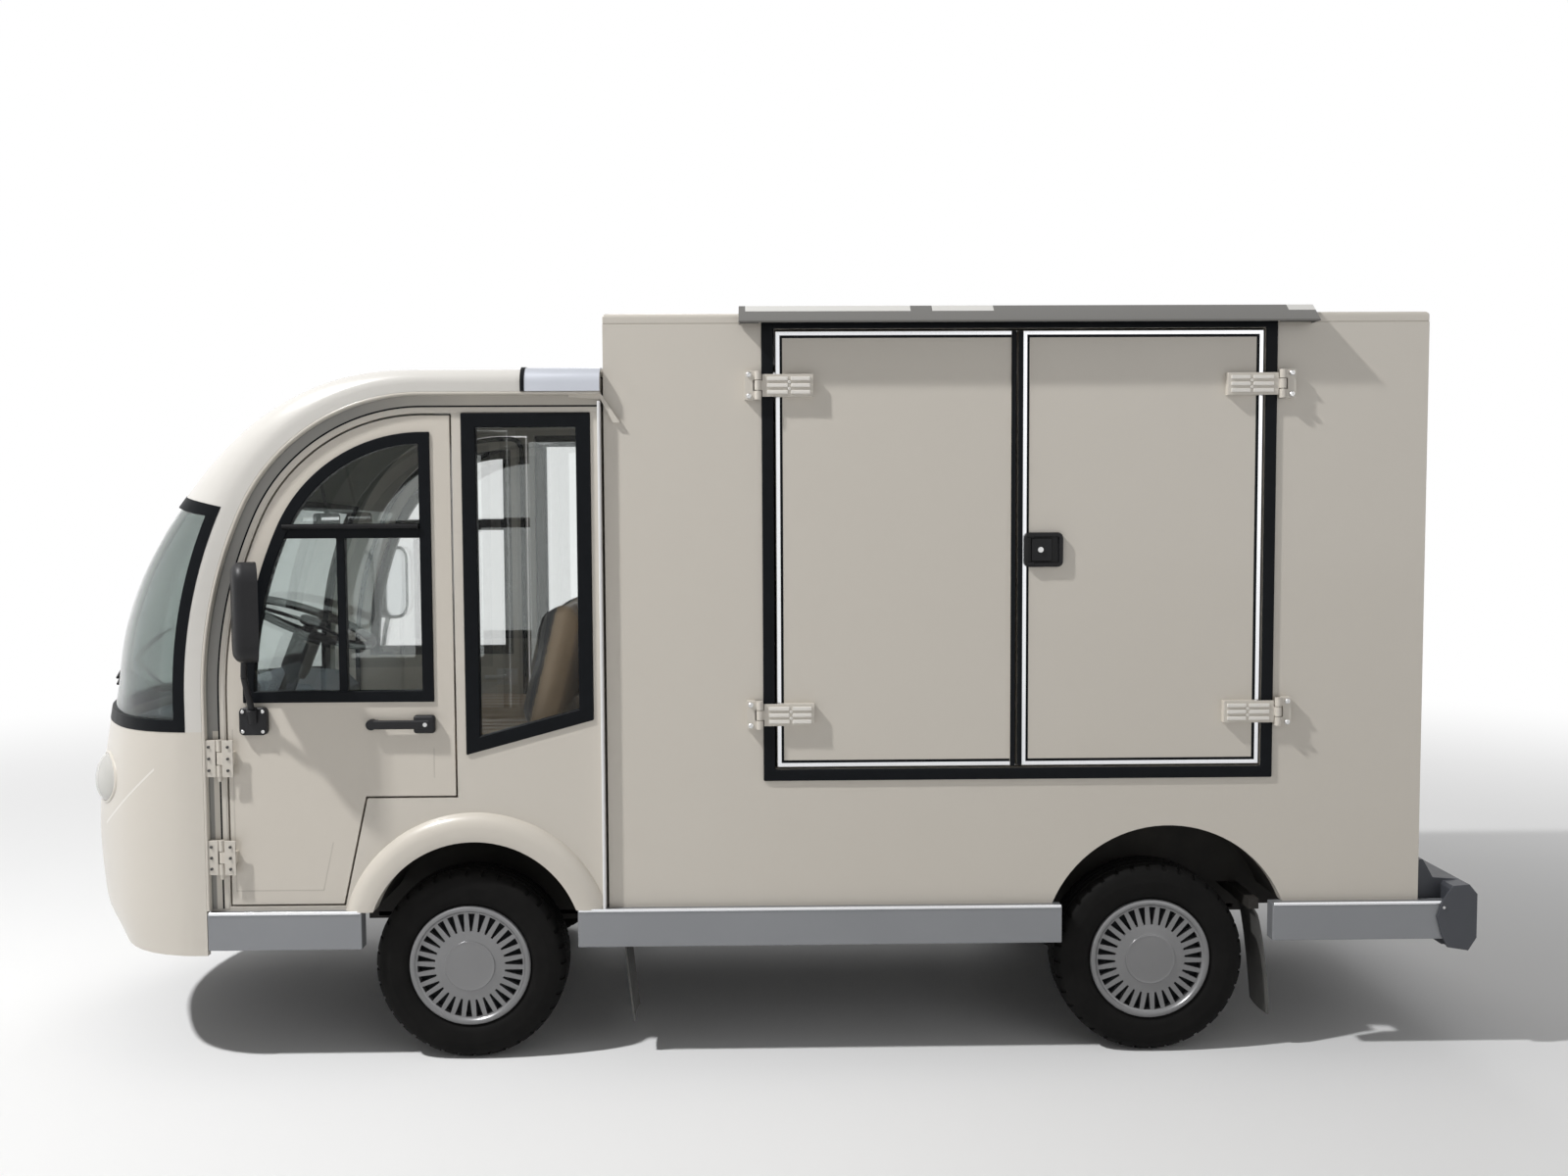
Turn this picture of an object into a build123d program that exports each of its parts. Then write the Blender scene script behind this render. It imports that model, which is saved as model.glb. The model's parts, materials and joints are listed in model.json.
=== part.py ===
"""Electric catering truck: a low-speed cab-over van with a curved cab, a cargo box with double side doors and
a ladder chassis. Millimetres. X runs from the nose to the rear, Y to the truck's right, Z up from the road."""

from build123d import *
import math
import os

os.makedirs("parts", exist_ok=True)

# Layout along the truck
front_overhang = 1290.0
wheelbase = 2010.0
rear_overhang = 950.0
overall_length = front_overhang + wheelbase + rear_overhang
front_axle_x = front_overhang - overall_length / 2
rear_axle_x = front_axle_x + wheelbase

# Clearances that every piece shares
overrun = 30.0
fit_gap = 0.3
swing_gap = 6.0
running_gap = 0.05
pin_slack = 0.5

# Cab widths: the roof and nose shells stand one wall proud of the cab sides and doors
cab_half_width = 705.0
shell_wall = 25.0
side_thickness = 40.0
skin_y = cab_half_width - shell_wall
lining_y = skin_y - side_thickness
cab_tail_behind = 406.0
cab_tail_x = front_axle_x + cab_tail_behind

# Cab arch in side view: a front post, a long windscreen arc, a tighter roof arc and a level roof rail
arch_ahead = 750.0
arch_spring_z = 1076.0
arch_top_z = 1958.0
screen_arc_r = 1310.0
roof_arc_r = 575.0
arch_face_x = front_axle_x - arch_ahead
screen_centre = (arch_face_x + screen_arc_r, arch_spring_z)
roof_centre_z = arch_top_z - roof_arc_r
arc_step = screen_arc_r - roof_arc_r
join_angle = math.degrees(math.asin((roof_centre_z - arch_spring_z) / arc_step))
roof_centre = (screen_centre[0] - arc_step * math.cos(math.radians(join_angle)), roof_centre_z)

# Cab openings in side view, measured from the front axle
door_bottom_z = 474.0
door_inset = 66.0
door_rear_behind = -29.0
door_step_z = 790.0
door_step_ahead = 290.0
door_low_ahead = 360.0
side_foot_z = 455.0
flange_lap = 15.0
door_window_inset = 113.0
door_window_rear_behind = -86.0
door_window_sill_z = 1066.0
window_bar = 33.0
quarter_front_behind = 4.0
quarter_rear_behind = 375.0
quarter_top_z = 1899.0
quarter_low_front_z = 909.0
quarter_low_rear_z = 1009.0
quarter_bar = 42.0
seal_proud = 6.0
seal_depth = 32.0
glass_thickness = 5.0
transom_z = 1558.0
transom_height = 34.0
mullion_ahead = 348.0
mullion_width = 24.0

# Windscreen
screen_base_z = 985.0
screen_lip = 48.0
screen_bar = 34.0
screen_top_rise_deg = 12.0
glass_sink = 8.0
screen_reach = 700.0


def on_arc(centre, radius, angle):
    """Point on an arc of the arch, its angle measured up from straight ahead."""
    turn = math.radians(angle)
    return (centre[0] - radius * math.cos(turn), centre[1] + radius * math.sin(turn))


def draw_arch(inset, foot_z, end_x):
    """Adds the cab arch, drawn inset from its edge, from the post's foot back to end_x; returns its ends."""
    first_angle = math.degrees(math.asin(max(0.0, foot_z - arch_spring_z) / (screen_arc_r - inset)))
    spring = on_arc(screen_centre, screen_arc_r - inset, first_angle)
    join = on_arc(screen_centre, screen_arc_r - inset, join_angle)
    reach = min(1.0, max(0.0, (roof_centre[0] - end_x) / (roof_arc_r - inset)))
    last_angle = math.degrees(math.acos(reach))
    crown = on_arc(roof_centre, roof_arc_r - inset, last_angle)
    if foot_z < arch_spring_z:
        Line((arch_face_x + inset, foot_z), spring)
    ThreePointArc(spring, on_arc(screen_centre, screen_arc_r - inset, (first_angle + join_angle) / 2), join)
    ThreePointArc(join, on_arc(roof_centre, roof_arc_r - inset, (join_angle + last_angle) / 2), crown)
    if reach == 0:
        Line(crown, (end_x, arch_top_z - inset))
        crown = (end_x, arch_top_z - inset)
    return crown, (max(arch_face_x + inset, spring[0]), foot_z)


def draw_arch_field(inset, foot_z, end_x):
    """Closed outline under the arch."""
    head, foot = draw_arch(inset, foot_z, end_x)
    Polyline(head, (head[0], foot_z), foot)


def draw_door(grow):
    """Closed outline of a cab door, grown all round."""
    slant = math.atan2(door_low_ahead - door_step_ahead, door_step_z - door_bottom_z)
    shift = grow * (1 / math.cos(slant) - math.tan(slant))
    rear_x = front_axle_x + door_rear_behind + grow
    step = (front_axle_x - door_step_ahead + shift, door_step_z - grow)
    low = (front_axle_x - door_low_ahead + shift, door_bottom_z - grow)
    head, foot = draw_arch(door_inset - grow, door_bottom_z - grow, rear_x)
    Polyline(head, (head[0], step[1]), step, low, foot)


def draw_door_window(inset):
    """Closed outline of a cab door's window, inset from its opening."""
    rear_x = front_axle_x + door_window_rear_behind - inset
    draw_arch_field(door_window_inset + inset, door_window_sill_z + inset, rear_x)


def draw_quarter_window(inset):
    """Closed outline of a quarter window, inset from its opening; its sill climbs to the rear."""
    front_x = front_axle_x + quarter_front_behind + inset
    rear_x = front_axle_x + quarter_rear_behind - inset
    run = quarter_rear_behind - quarter_front_behind
    climb = (quarter_low_rear_z - quarter_low_front_z) / run
    lift = inset * math.hypot(1, climb)
    top_z = quarter_top_z - inset
    front_z = quarter_low_front_z + climb * inset + lift
    rear_z = quarter_low_rear_z - climb * inset + lift
    Polyline((front_x, front_z), (front_x, top_z), (rear_x, top_z), (rear_x, rear_z), (front_x, front_z))


def side_plate(draw, outer_y, thickness):
    """Solid of a closed side-view outline on the left side, from outer_y inwards."""
    with BuildPart() as plate:
        with BuildSketch(Plane.XZ.offset(outer_y - thickness)):
            with BuildLine():
                draw()
            make_face()
        extrude(amount=thickness)
    return plate.part


def side_cutter(draw):
    """Solid of a closed side-view outline right across the truck."""
    with BuildPart() as cutter:
        with BuildSketch(Plane.XZ):
            with BuildLine():
                draw()
            make_face()
        extrude(amount=cab_half_width + overrun, both=True)
    return cutter.part


def block(low, high):
    """Plain block between two corners."""
    with BuildPart() as made:
        with Locations(tuple((a + b) / 2 for a, b in zip(low, high))):
            Box(*(b - a for a, b in zip(low, high)))
    return made.part


def rod(start, end, radius):
    """Round bar between two points."""
    line = Vector(*end) - Vector(*start)
    with BuildPart() as made:
        with BuildSketch(Plane(origin=start, z_dir=line)):
            Circle(radius)
        extrude(amount=line.length)
    return made.part


def both_sides(left):
    """A left piece and its mirror image on the right, as one node's solids."""
    with BuildPart() as pair:
        add(left)
        mirror(left, about=Plane.XZ)
    return pair.part


def right_of(left):
    """The right-hand copy of a left piece."""
    with BuildPart() as copy:
        mirror(left, about=Plane.XZ)
    return copy.part


def save(shape, name):
    """Labels a finished piece and writes its file."""
    shape.label = name
    export_step(shape, f"parts/{name}.step")


# Roof and nose shell: upright ribs, each with a straight edge, two shoulder arcs and a crown arc. A nose rib
# stands at a height on the front post, a screen or roof rib at an angle round its arc.
shell_edge = 25.0
shell_root = 60.0
shoulder_share = 0.72
nose_foot_z = 330.0
# Columns: height on the post, bulge ahead of it
nose_ribs = ((nose_foot_z, 455.0), (430.0, 522.0), (640.0, front_overhang - arch_ahead),
             (screen_base_z, 487.0))
# Columns: share of the screen arc, lean of the rib, bulge along it
screen_ribs = ((0.0, 2.0, 462.0), (0.25, 5.0, 440.0), (0.5, 8.0, 402.0), (0.75, 10.0, 346.0),
               (1.0, screen_top_rise_deg, 275.0))
# Columns: angle round the roof arc, lean of the rib, bulge along it
roof_ribs = ((35.6, 24.0, 208.0), (46.5, 40.0, 166.0), (57.4, 55.0, 136.0), (68.3, 68.0, 112.0),
             (79.0, 80.0, 92.0))
crown_bulge = 80.0


def rib_plane(foot, lean):
    """Plane of a rib: its first axis across the truck, its second outwards from the arch."""
    turn = math.radians(lean)
    return Plane(origin=(foot[0], 0, foot[1]), x_dir=(0, 1, 0), z_dir=(math.sin(turn), 0, math.cos(turn)))


def draw_rib(bulge, sink):
    """Closed outline of one rib, sunk into the shell from its outer face."""
    half = cab_half_width - sink
    top = bulge - sink
    shoulder = shoulder_share * (bulge - shell_edge) - sink
    shoulder_s, shoulder_t = half - shoulder, shell_edge
    drop = top - shoulder_t
    crown_r = (shoulder**2 - shoulder_s**2 - drop**2) / (2 * (shoulder - drop))
    lean = math.atan2(shoulder_t - (top - crown_r), shoulder_s)
    touch = (shoulder_s + shoulder * math.cos(lean), shoulder_t + shoulder * math.sin(lean))
    bend = (shoulder_s + shoulder * math.cos(lean / 2), shoulder_t + shoulder * math.sin(lean / 2))
    Line((half, -shell_root), (half, shoulder_t))
    ThreePointArc((half, shoulder_t), bend, touch)
    ThreePointArc(touch, (0, top), (-touch[0], touch[1]))
    ThreePointArc((-touch[0], touch[1]), (-bend[0], bend[1]), (-half, shoulder_t))
    Polyline((-half, shoulder_t), (-half, -shell_root), (half, -shell_root))


def rib_face(foot, lean, bulge, sink):
    """Face of one rib."""
    with BuildSketch(rib_plane(foot, lean)) as rib:
        with BuildLine():
            draw_rib(bulge, sink)
        make_face()
    return rib.sketch


def shell_body(sink):
    """Solid inside the roof and nose skin, sunk from its outer face."""
    ribs = [rib_face((arch_face_x, height), 0, bulge, sink) for height, bulge in nose_ribs]
    for share, lean, bulge in screen_ribs:
        ribs.append(rib_face(on_arc(screen_centre, screen_arc_r, share * join_angle), lean, bulge, sink))
    for angle, lean, bulge in roof_ribs:
        ribs.append(rib_face(on_arc(roof_centre, roof_arc_r, angle), lean, bulge, sink))
    for x in (roof_centre[0], cab_tail_x):
        ribs.append(rib_face((x, arch_top_z), 90, crown_bulge, sink))
    with BuildPart() as body:
        loft(ribs, ruled=True)
    return body.part


def draw_screen(inset):
    """Closed side-view outline of the windscreen unit, ahead of the lip along the arch."""
    edge = screen_lip + inset
    rise = math.radians(screen_top_rise_deg)
    swing = math.radians(join_angle) - rise
    near = (screen_arc_r * math.cos(swing), screen_arc_r * math.sin(swing) - inset)
    reach = math.sqrt((screen_arc_r + edge)**2 - near[1]**2)
    corner = (screen_centre[0] - reach * math.cos(rise) + near[1] * math.sin(rise),
              screen_centre[1] + reach * math.sin(rise) + near[1] * math.cos(rise))
    top_angle = math.degrees(math.atan2(corner[1] - screen_centre[1], screen_centre[0] - corner[0]))
    base_z = screen_base_z + inset
    low = (arch_face_x - edge, base_z)
    spring = (arch_face_x - edge, arch_spring_z)
    far = (corner[0] - screen_reach, corner[1] + screen_reach * math.tan(rise))
    Line(low, spring)
    ThreePointArc(spring, on_arc(screen_centre, screen_arc_r + edge, top_angle / 2), corner)
    Polyline(corner, far, (far[0], base_z), low)


def prism_across(points, half):
    """Solid of a side-view polygon, from the middle to half on both sides."""
    with BuildPart() as made:
        with BuildSketch(Plane.XZ):
            with BuildLine():
                Polyline(*points, close=True)
            make_face()
        extrude(amount=half, both=True)
    return made.part


def prism_left(points, outer_y, thickness):
    """Solid of a side-view polygon on the left side, from outer_y inwards."""
    return side_plate(lambda: Polyline(*points, close=True), outer_y, thickness)


def lengthways(points, start_x, end_x):
    """Solid of a front-view polygon of (across, up) points, from start_x to end_x."""
    with BuildPart() as made:
        with BuildSketch(Plane.YZ.offset(start_x)):
            with BuildLine():
                Polyline(*points, close=True)
            make_face()
        extrude(amount=end_x - start_x)
    return made.part


def disc(centre, radius, outer_y, thickness):
    """Round plate on the left side about a (x, z) centre, from outer_y inwards."""
    return side_plate(lambda: CenterArc(centre, radius, 0, 360), outer_y, thickness)


# Wheels and their arches
tyre_r = 281.0
tyre_width = 165.0
wheel_y = skin_y - 88.0
rim_r = 178.0
barrel_wall = 10.0
tyre_shoulder = 26.0
tyre_crown = 5.0
rim_disc_in = 30.0
rim_disc = 10.0
hub_r = 46.0
hub_inner_y = wheel_y - 17.0
stub_r = 15.0
cap_face_in = 10.0
cap_sheet = 6.0
cap_slots = 30
cap_slot_inner_r = 103.0
cap_slot_outer_r = 155.0
cap_slot_narrow = 3.5
cap_slot_wide = 11.0
cap_edge = 2.0
cap_ring_r = 160.0
cap_ring_proud = 5.0
cap_centre_r = 72.0
cap_centre_proud = 8.0
front_arch = (25.0, 344.0, 315.0, 396.0)
rear_arch = (46.0, 316.0, 368.0, 378.0)
lip_proud = 32.0
front_arch_centre = (front_axle_x + front_arch[0], front_arch[1])
rear_arch_centre = (rear_axle_x + rear_arch[0], rear_arch[1])
liner_wall = 6.0
liner_depth = 190.0

# Chassis
rail_inner_y = 300.0
rail_outer_y = 350.0
rail_bottom_z = 355.0
rail_top_z = side_foot_z
rail_front_x = arch_face_x + 60.0
leaf_top_z = 342.0
leaf_thickness = 8.0
leaf_spans = (760.0, 560.0, 360.0)
beam_bottom_z = 256.0
beam_half = 30.0
kingpin_y = wheel_y - 47.0
kingpin_r = 8.0
knuckle_r = 22.0
knuckle_half = 35.0
lug_thickness = 14.0

# Cargo box
box_half_width = skin_y
box_wall = 40.0
box_front_x = cab_tail_x + 7.0
bumper_depth = 160.0
box_rear_x = overall_length / 2 - bumper_depth
box_floor_top_z = side_foot_z + 30.0
box_roof_top_z = 2180.0
box_roof_sheet = 30.0
box_roof_bottom_z = box_roof_top_z - box_roof_sheet
box_edge_r = 12.0
inner_half = box_half_width - box_wall

# Cargo doorway: a black seal round two leaves, whose straps turn on pins outside it
doorway_front_x = box_front_x + 455.0
doorway_width = 1490.0
doorway_rear_x = doorway_front_x + doorway_width
doorway_bottom_z = 826.0
doorway_top_z = box_roof_top_z - box_edge_r
seal_width = 34.0
seal_stand = 8.0
trim_stand = 5.0
meeting_x = (doorway_front_x + doorway_rear_x) / 2 - seal_stand
meeting_trim = 14.0
leaf_gap = swing_gap
pin_out = 22.0
pin_r = 5.0
barrel_r = 10.0
strap_length = 158.0
strap_height = 82.0
strap_sheet = 8.0
strap_half = 32.0
strap_from_edge = 196.0
strap_centres_z = (doorway_bottom_z + strap_from_edge, doorway_top_z - strap_from_edge)
knuckle_gap = 2.0
latch_width = 114.0
latch_height = 100.0
latch_stand = 6.0


# Cab shell
outer_shell = shell_body(0)
inner_shell = shell_body(shell_wall)
snug_shell = shell_body(shell_wall + fit_gap)
lamp_y = 468.0
lamp_z = 815.0
lamp_half_width = 88.0
lamp_half_height = 72.0


def lamp_core(shrink):
    """Oval bar through both headlamps, lengthways."""
    with BuildPart() as made:
        with BuildSketch(Plane.YZ.offset(-overall_length / 2 - overrun)):
            with Locations((-lamp_y, lamp_z), (lamp_y, lamp_z)):
                Ellipse(lamp_half_width - shrink, lamp_half_height - shrink)
        extrude(amount=front_overhang - arch_ahead + 2 * overrun)
    return made.part


with BuildPart() as cab_shell:
    add(outer_shell)
    add(inner_shell, mode=Mode.SUBTRACT)
    add(side_cutter(lambda: draw_arch_field(0, nose_foot_z - overrun, cab_tail_x + overrun)),
        mode=Mode.SUBTRACT)
    add(side_cutter(lambda: draw_screen(0)), mode=Mode.SUBTRACT)
    add(lamp_core(0), mode=Mode.SUBTRACT)

split_z = screen_base_z
shell_high_z = arch_top_z + crown_bulge + overrun
with BuildPart() as cab_roof:
    add(cab_shell.part)
    add(block((-overall_length, -cab_half_width - overrun, 0), (0, cab_half_width + overrun, split_z)),
        mode=Mode.SUBTRACT)
save(cab_roof.part, "cab_roof")

with BuildPart() as nose_fascia:
    add(cab_shell.part)
    add(block((-overall_length, -cab_half_width - overrun, split_z),
              (0, cab_half_width + overrun, shell_high_z)), mode=Mode.SUBTRACT)
save(nose_fascia.part, "nose_fascia")

lamp_proud = 16.0
with BuildPart() as headlamps:
    add(shell_body(-lamp_proud))
    add(inner_shell, mode=Mode.SUBTRACT)
    add(lamp_core(fit_gap), mode=Mode.INTERSECT)
    add(block((-overall_length, -cab_half_width - overrun, 0),
              (-front_overhang + front_axle_x, 0, arch_top_z)),
        mode=Mode.SUBTRACT)
    add(block((-overall_length, 0, 0), (-front_overhang + front_axle_x, cab_half_width + overrun, arch_top_z)),
        mode=Mode.SUBTRACT)
save(headlamps.part, "headlamps")

with BuildPart() as windscreen_surround:
    add(outer_shell)
    add(inner_shell, mode=Mode.SUBTRACT)
    add(side_cutter(lambda: draw_screen(running_gap)), mode=Mode.INTERSECT)
    add(side_cutter(lambda: draw_screen(screen_bar)), mode=Mode.SUBTRACT)
save(windscreen_surround.part, "windscreen_surround")

with BuildPart() as windscreen_glass:
    add(shell_body(glass_sink))
    add(shell_body(glass_sink + glass_thickness), mode=Mode.SUBTRACT)
    add(side_cutter(lambda: draw_screen(screen_bar + running_gap)), mode=Mode.INTERSECT)
save(windscreen_glass.part, "windscreen_glass")

flashing_ahead = 192.0
flashing_sheet = 5.0
with BuildPart() as roof_flashing:
    add(shell_body(-flashing_sheet))
    add(outer_shell, mode=Mode.SUBTRACT)
    add(side_cutter(lambda: draw_arch_field(0, 0, cab_tail_x + overrun)), mode=Mode.SUBTRACT)
    add(block((front_axle_x + flashing_ahead, -cab_half_width - overrun, 0),
              (cab_tail_x, cab_half_width + overrun, shell_high_z)), mode=Mode.INTERSECT)
save(roof_flashing.part, "roof_flashing")

under_floor = block((-overall_length, -overall_length, -overall_length), (overall_length, 0, side_foot_z))

# Cab sides: pillars, arched roof rail, sill and the fat rounded wheel arch behind the doorway
# Columns: radius from the arch centre, distance out from the cab's skin
flare_outline = ((front_arch[2] - overrun, 0.0), (front_arch[2] - overrun, 24.0),
                 (front_arch[2] + 6.0, 30.0),
                 (front_arch[2] + 20.0, lip_proud), (front_arch[2] + 40.0, 31.0),
                 (front_arch[2] + 56.0, 26.0),
                 (front_arch[2] + 69.0, 18.0), (front_arch[2] + 77.0, 9.0), (front_arch[3], 0.0))
with BuildPart() as flare_ring:
    with BuildSketch(Plane.XY):
        with BuildLine():
            Polyline(*((r, -out) for r, out in flare_outline), close=True)
        make_face()
    revolve(axis=Axis.Y)
drip_sheet = 12.0
drip_drop = 90.0
drip_root = ((cab_tail_x - drip_drop, arch_top_z - 4.0), (cab_tail_x, arch_top_z - 4.0),
             (cab_tail_x, arch_top_z - 22.0), (cab_tail_x - drip_drop, arch_top_z - 16.0))
drip_tail = (drip_root[0], drip_root[1], (cab_tail_x + 57.0, arch_top_z - drip_drop),
             (cab_tail_x + 36.0, arch_top_z - drip_drop), drip_root[2], drip_root[3])
flare = Location((front_arch_centre[0], -skin_y, front_arch_centre[1])) * flare_ring.part
with BuildPart() as cab_side_left:
    add(side_plate(lambda: draw_arch_field(-flange_lap, side_foot_z, cab_tail_x), skin_y, side_thickness))
    add(flare)
    add(under_floor, mode=Mode.SUBTRACT)
    add(disc(front_arch_centre, front_arch[2], skin_y + overrun + lip_proud,
             2 * overrun + lip_proud + side_thickness), mode=Mode.SUBTRACT)
    add(side_plate(lambda: draw_door(swing_gap), skin_y + overrun, 2 * overrun + side_thickness),
        mode=Mode.SUBTRACT)
    add(side_plate(lambda: draw_quarter_window(0), skin_y + overrun, 2 * overrun + side_thickness),
        mode=Mode.SUBTRACT)

    add(prism_left(drip_tail, skin_y + drip_sheet, drip_sheet - fit_gap))
    add(prism_left(drip_root, skin_y + drip_sheet, 2 * drip_sheet))

# Quarter windows
with BuildPart() as quarter_frame:
    add(side_plate(lambda: draw_quarter_window(0), skin_y + seal_proud, seal_depth))
    add(side_plate(lambda: draw_quarter_window(quarter_bar), skin_y + overrun, 2 * overrun + side_thickness),
        mode=Mode.SUBTRACT)
save(both_sides(quarter_frame.part), "quarter_frames")
quarter_pane = side_plate(lambda: draw_quarter_window(quarter_bar), skin_y - glass_sink, glass_thickness)
save(both_sides(quarter_pane), "quarter_glass")

# Cab rear wall, floor and the fittings that show through the glass
rear_wall_thickness = 25.0
with BuildPart() as cab_rear_wall:
    with BuildSketch(rib_plane((cab_tail_x, arch_top_z), 90)):
        with BuildLine():
            draw_rib(crown_bulge, shell_wall + running_gap)
        make_face()
    extrude(amount=-rear_wall_thickness)
    add(block((cab_tail_x - rear_wall_thickness, -lining_y, side_foot_z),
              (cab_tail_x, lining_y, arch_top_z)))
    for low_y, high_y in ((-cab_half_width, -lining_y), (lining_y, cab_half_width)):
        add(block((cab_tail_x - 2 * rear_wall_thickness, low_y, side_foot_z - overrun),
                  (cab_tail_x + overrun, high_y, arch_top_z + flange_lap)), mode=Mode.SUBTRACT)
save(cab_rear_wall.part, "cab_rear_wall")

floor_sheet = 20.0
cabin_half = lining_y - swing_gap
step_foot_x = front_axle_x - door_low_ahead + 15.0
step_head_x = front_axle_x - door_step_ahead + 15.0
step_top_z = door_step_z + 5.0
floor_back_x = cab_tail_x - rear_wall_thickness
floor_points = (
    (arch_face_x, side_foot_z), (step_foot_x + floor_sheet, side_foot_z),
    (step_head_x + floor_sheet, step_top_z - floor_sheet), (floor_back_x, step_top_z - floor_sheet),
    (floor_back_x, step_top_z), (step_head_x, step_top_z), (step_foot_x, side_foot_z + floor_sheet),
    (arch_face_x, side_foot_z + floor_sheet),
)
with BuildPart() as cab_floor:
    add(snug_shell)
    add(block((-overall_length, -cab_half_width, side_foot_z),
              (arch_face_x, cab_half_width, side_foot_z + floor_sheet)), mode=Mode.INTERSECT)
    add(block((arch_face_x - flange_lap - swing_gap, -cab_half_width, 0),
              (arch_face_x, -cabin_half, arch_top_z)),
        mode=Mode.SUBTRACT)
    add(block((arch_face_x - flange_lap - swing_gap, cabin_half, 0),
              (arch_face_x, cab_half_width, arch_top_z)),
        mode=Mode.SUBTRACT)
    add(prism_across(floor_points, cabin_half))
save(cab_floor.part, "cab_floor")

# Columns: distance behind the arch's front post, height
dash_outline = ((-400.0, 845.0), (55.0, 800.0), (75.0, 960.0), (25.0, 1010.0), (-200.0, 1030.0),
                (-400.0, 965.0))
dash_points = tuple((arch_face_x + behind, height) for behind, height in dash_outline)
with BuildPart() as dashboard:
    add(prism_across(dash_points, cabin_half))
    add(snug_shell, mode=Mode.INTERSECT)
    add(prism_across(dash_points, cabin_half) & block((arch_face_x, -cabin_half, 0),
                                                      (0, cabin_half, arch_top_z)))

# Driver's controls and seats
seat_inner_y = 60.0
seat_half_width = (cabin_half - seat_inner_y - 74.0) / 2
driver_y = seat_inner_y + seat_half_width + 10.0
wheel_hub_behind = 205.0
wheel_hub_z = 1270.0
wheel_hub = (arch_face_x + wheel_hub_behind, wheel_hub_z)
wheel_tilt_deg = 22.0
wheel_rim_r = 192.0
wheel_grip_r = 14.0
wheel_boss_r = 40.0
spoke_r = 10.0
column_r = 24.0
shaft_r = 9.0
shaft_depth = 20.0
wheel_axis = (math.sin(math.radians(wheel_tilt_deg)), 0, math.cos(math.radians(wheel_tilt_deg)))
wheel_plane = Plane(origin=(wheel_hub[0], -driver_y, wheel_hub[1]), z_dir=wheel_axis)
with BuildPart() as steering_wheel:
    Torus(wheel_rim_r, wheel_grip_r)
    Cylinder(wheel_boss_r, 2 * wheel_grip_r)
    shaft_bore = rod((0, 0, -2 * wheel_grip_r), (0, 0, shaft_depth + swing_gap - wheel_grip_r),
                     shaft_r + pin_slack)
    for turn in (0.0, 120.0, 240.0):
        with Locations(Rotation(0, 0, turn)):
            with Locations((wheel_rim_r / 2, 0, 0)):
                Box(wheel_rim_r, 2 * spoke_r, spoke_r)
    add(shaft_bore, mode=Mode.SUBTRACT)
save(wheel_plane * steering_wheel.part, "steering_wheel")


def along_column(length):
    """Point down the column from the steering wheel's hub."""
    return (wheel_hub[0] - length * wheel_axis[0], -driver_y, wheel_hub[1] - length * wheel_axis[2])


column_length = (wheel_hub[1] - side_foot_z) / wheel_axis[2]
with BuildPart() as steering_column:
    add(rod(along_column(wheel_grip_r + swing_gap), along_column(column_length), column_r))
    add(rod(along_column(wheel_grip_r - shaft_depth), along_column(column_length / 2), shaft_r))
    add(block((-overall_length, -overall_length, 0), (0, overall_length, side_foot_z + floor_sheet)),
        mode=Mode.SUBTRACT)
save(steering_column.part, "steering_column")

with BuildPart() as dashboard_bored:
    add(dashboard.part)
    add(rod(along_column(0), along_column(column_length), column_r + running_gap), mode=Mode.SUBTRACT)
save(dashboard_bored.part, "dashboard")

seat_front_x = front_axle_x - 250.0
seat_rear_x = front_axle_x + 230.0
seat_top_z = 935.0
back_top_z = 1372.0
back_thickness = 120.0
back_lean = 105.0
with BuildPart() as seat_cushion:
    add(block((seat_front_x, -seat_inner_y - 2 * seat_half_width, step_top_z),
              (seat_rear_x, -seat_inner_y, seat_top_z)))
    fillet(seat_cushion.edges().filter_by(Axis.Y).group_by(Axis.Z)[-1], overrun)
save(both_sides(seat_cushion.part), "seat_cushions")
back_points = (
    (seat_rear_x - back_thickness, seat_top_z), (seat_rear_x, seat_top_z),
    (seat_rear_x + back_lean, back_top_z),
    (seat_rear_x + back_lean - back_thickness, back_top_z),
)
with BuildPart() as seat_back:
    add(prism_left(back_points, seat_inner_y + 2 * seat_half_width, 2 * seat_half_width))
    fillet(seat_back.edges().filter_by(Axis.Y).group_by(Axis.Z)[-1], overrun)
save(both_sides(seat_back.part), "seat_backs")

# Cab door: hinged on a pin ahead of its front edge
door_pin_x = arch_face_x + 45.0
door_pin_y = skin_y + 14.0
door_pin_r = 4.0
door_barrel_r = 8.0
door_hinges_z = ((854.0, 961.0), (567.0, 668.0))
door_hinge_front_x = arch_face_x + 1.0
door_hinge_rear_x = door_pin_x + 43.0
hinge_leaf = 5.0
handle_rear_x = front_axle_x + door_rear_behind - 53.0
handle_front_x = handle_rear_x - 191.0
handle_low_z = 976.0
handle_high_z = 1029.0
handle_proud = 24.0
handle_lock = 62.0
handle_step = 12.0
handle_grip = 12.0
mirror_front_x = arch_face_x + 110.0
mirror_rear_x = mirror_front_x + 70.0
mirror_low_z = 1196.0
mirror_high_z = 1476.0
mirror_inner_y = skin_y + 26.0
mirror_depth = 150.0
mirror_base_low_z = 974.0
mirror_base_high_z = 1054.0
mirror_arm_r = 11.0
mirror_base = 16.0


def hinge_thirds(low_z, high_z):
    """Heights of a hinge's lower, middle and upper knuckle."""
    third = (high_z - low_z) / 3
    return ((low_z, low_z + third - knuckle_gap), (low_z + third, high_z - third),
            (high_z - third + knuckle_gap, high_z))


def barrel(x, y, low_z, high_z, radius):
    """Upright round bar on the left side."""
    return rod((x, -y, low_z), (x, -y, high_z), radius)


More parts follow.
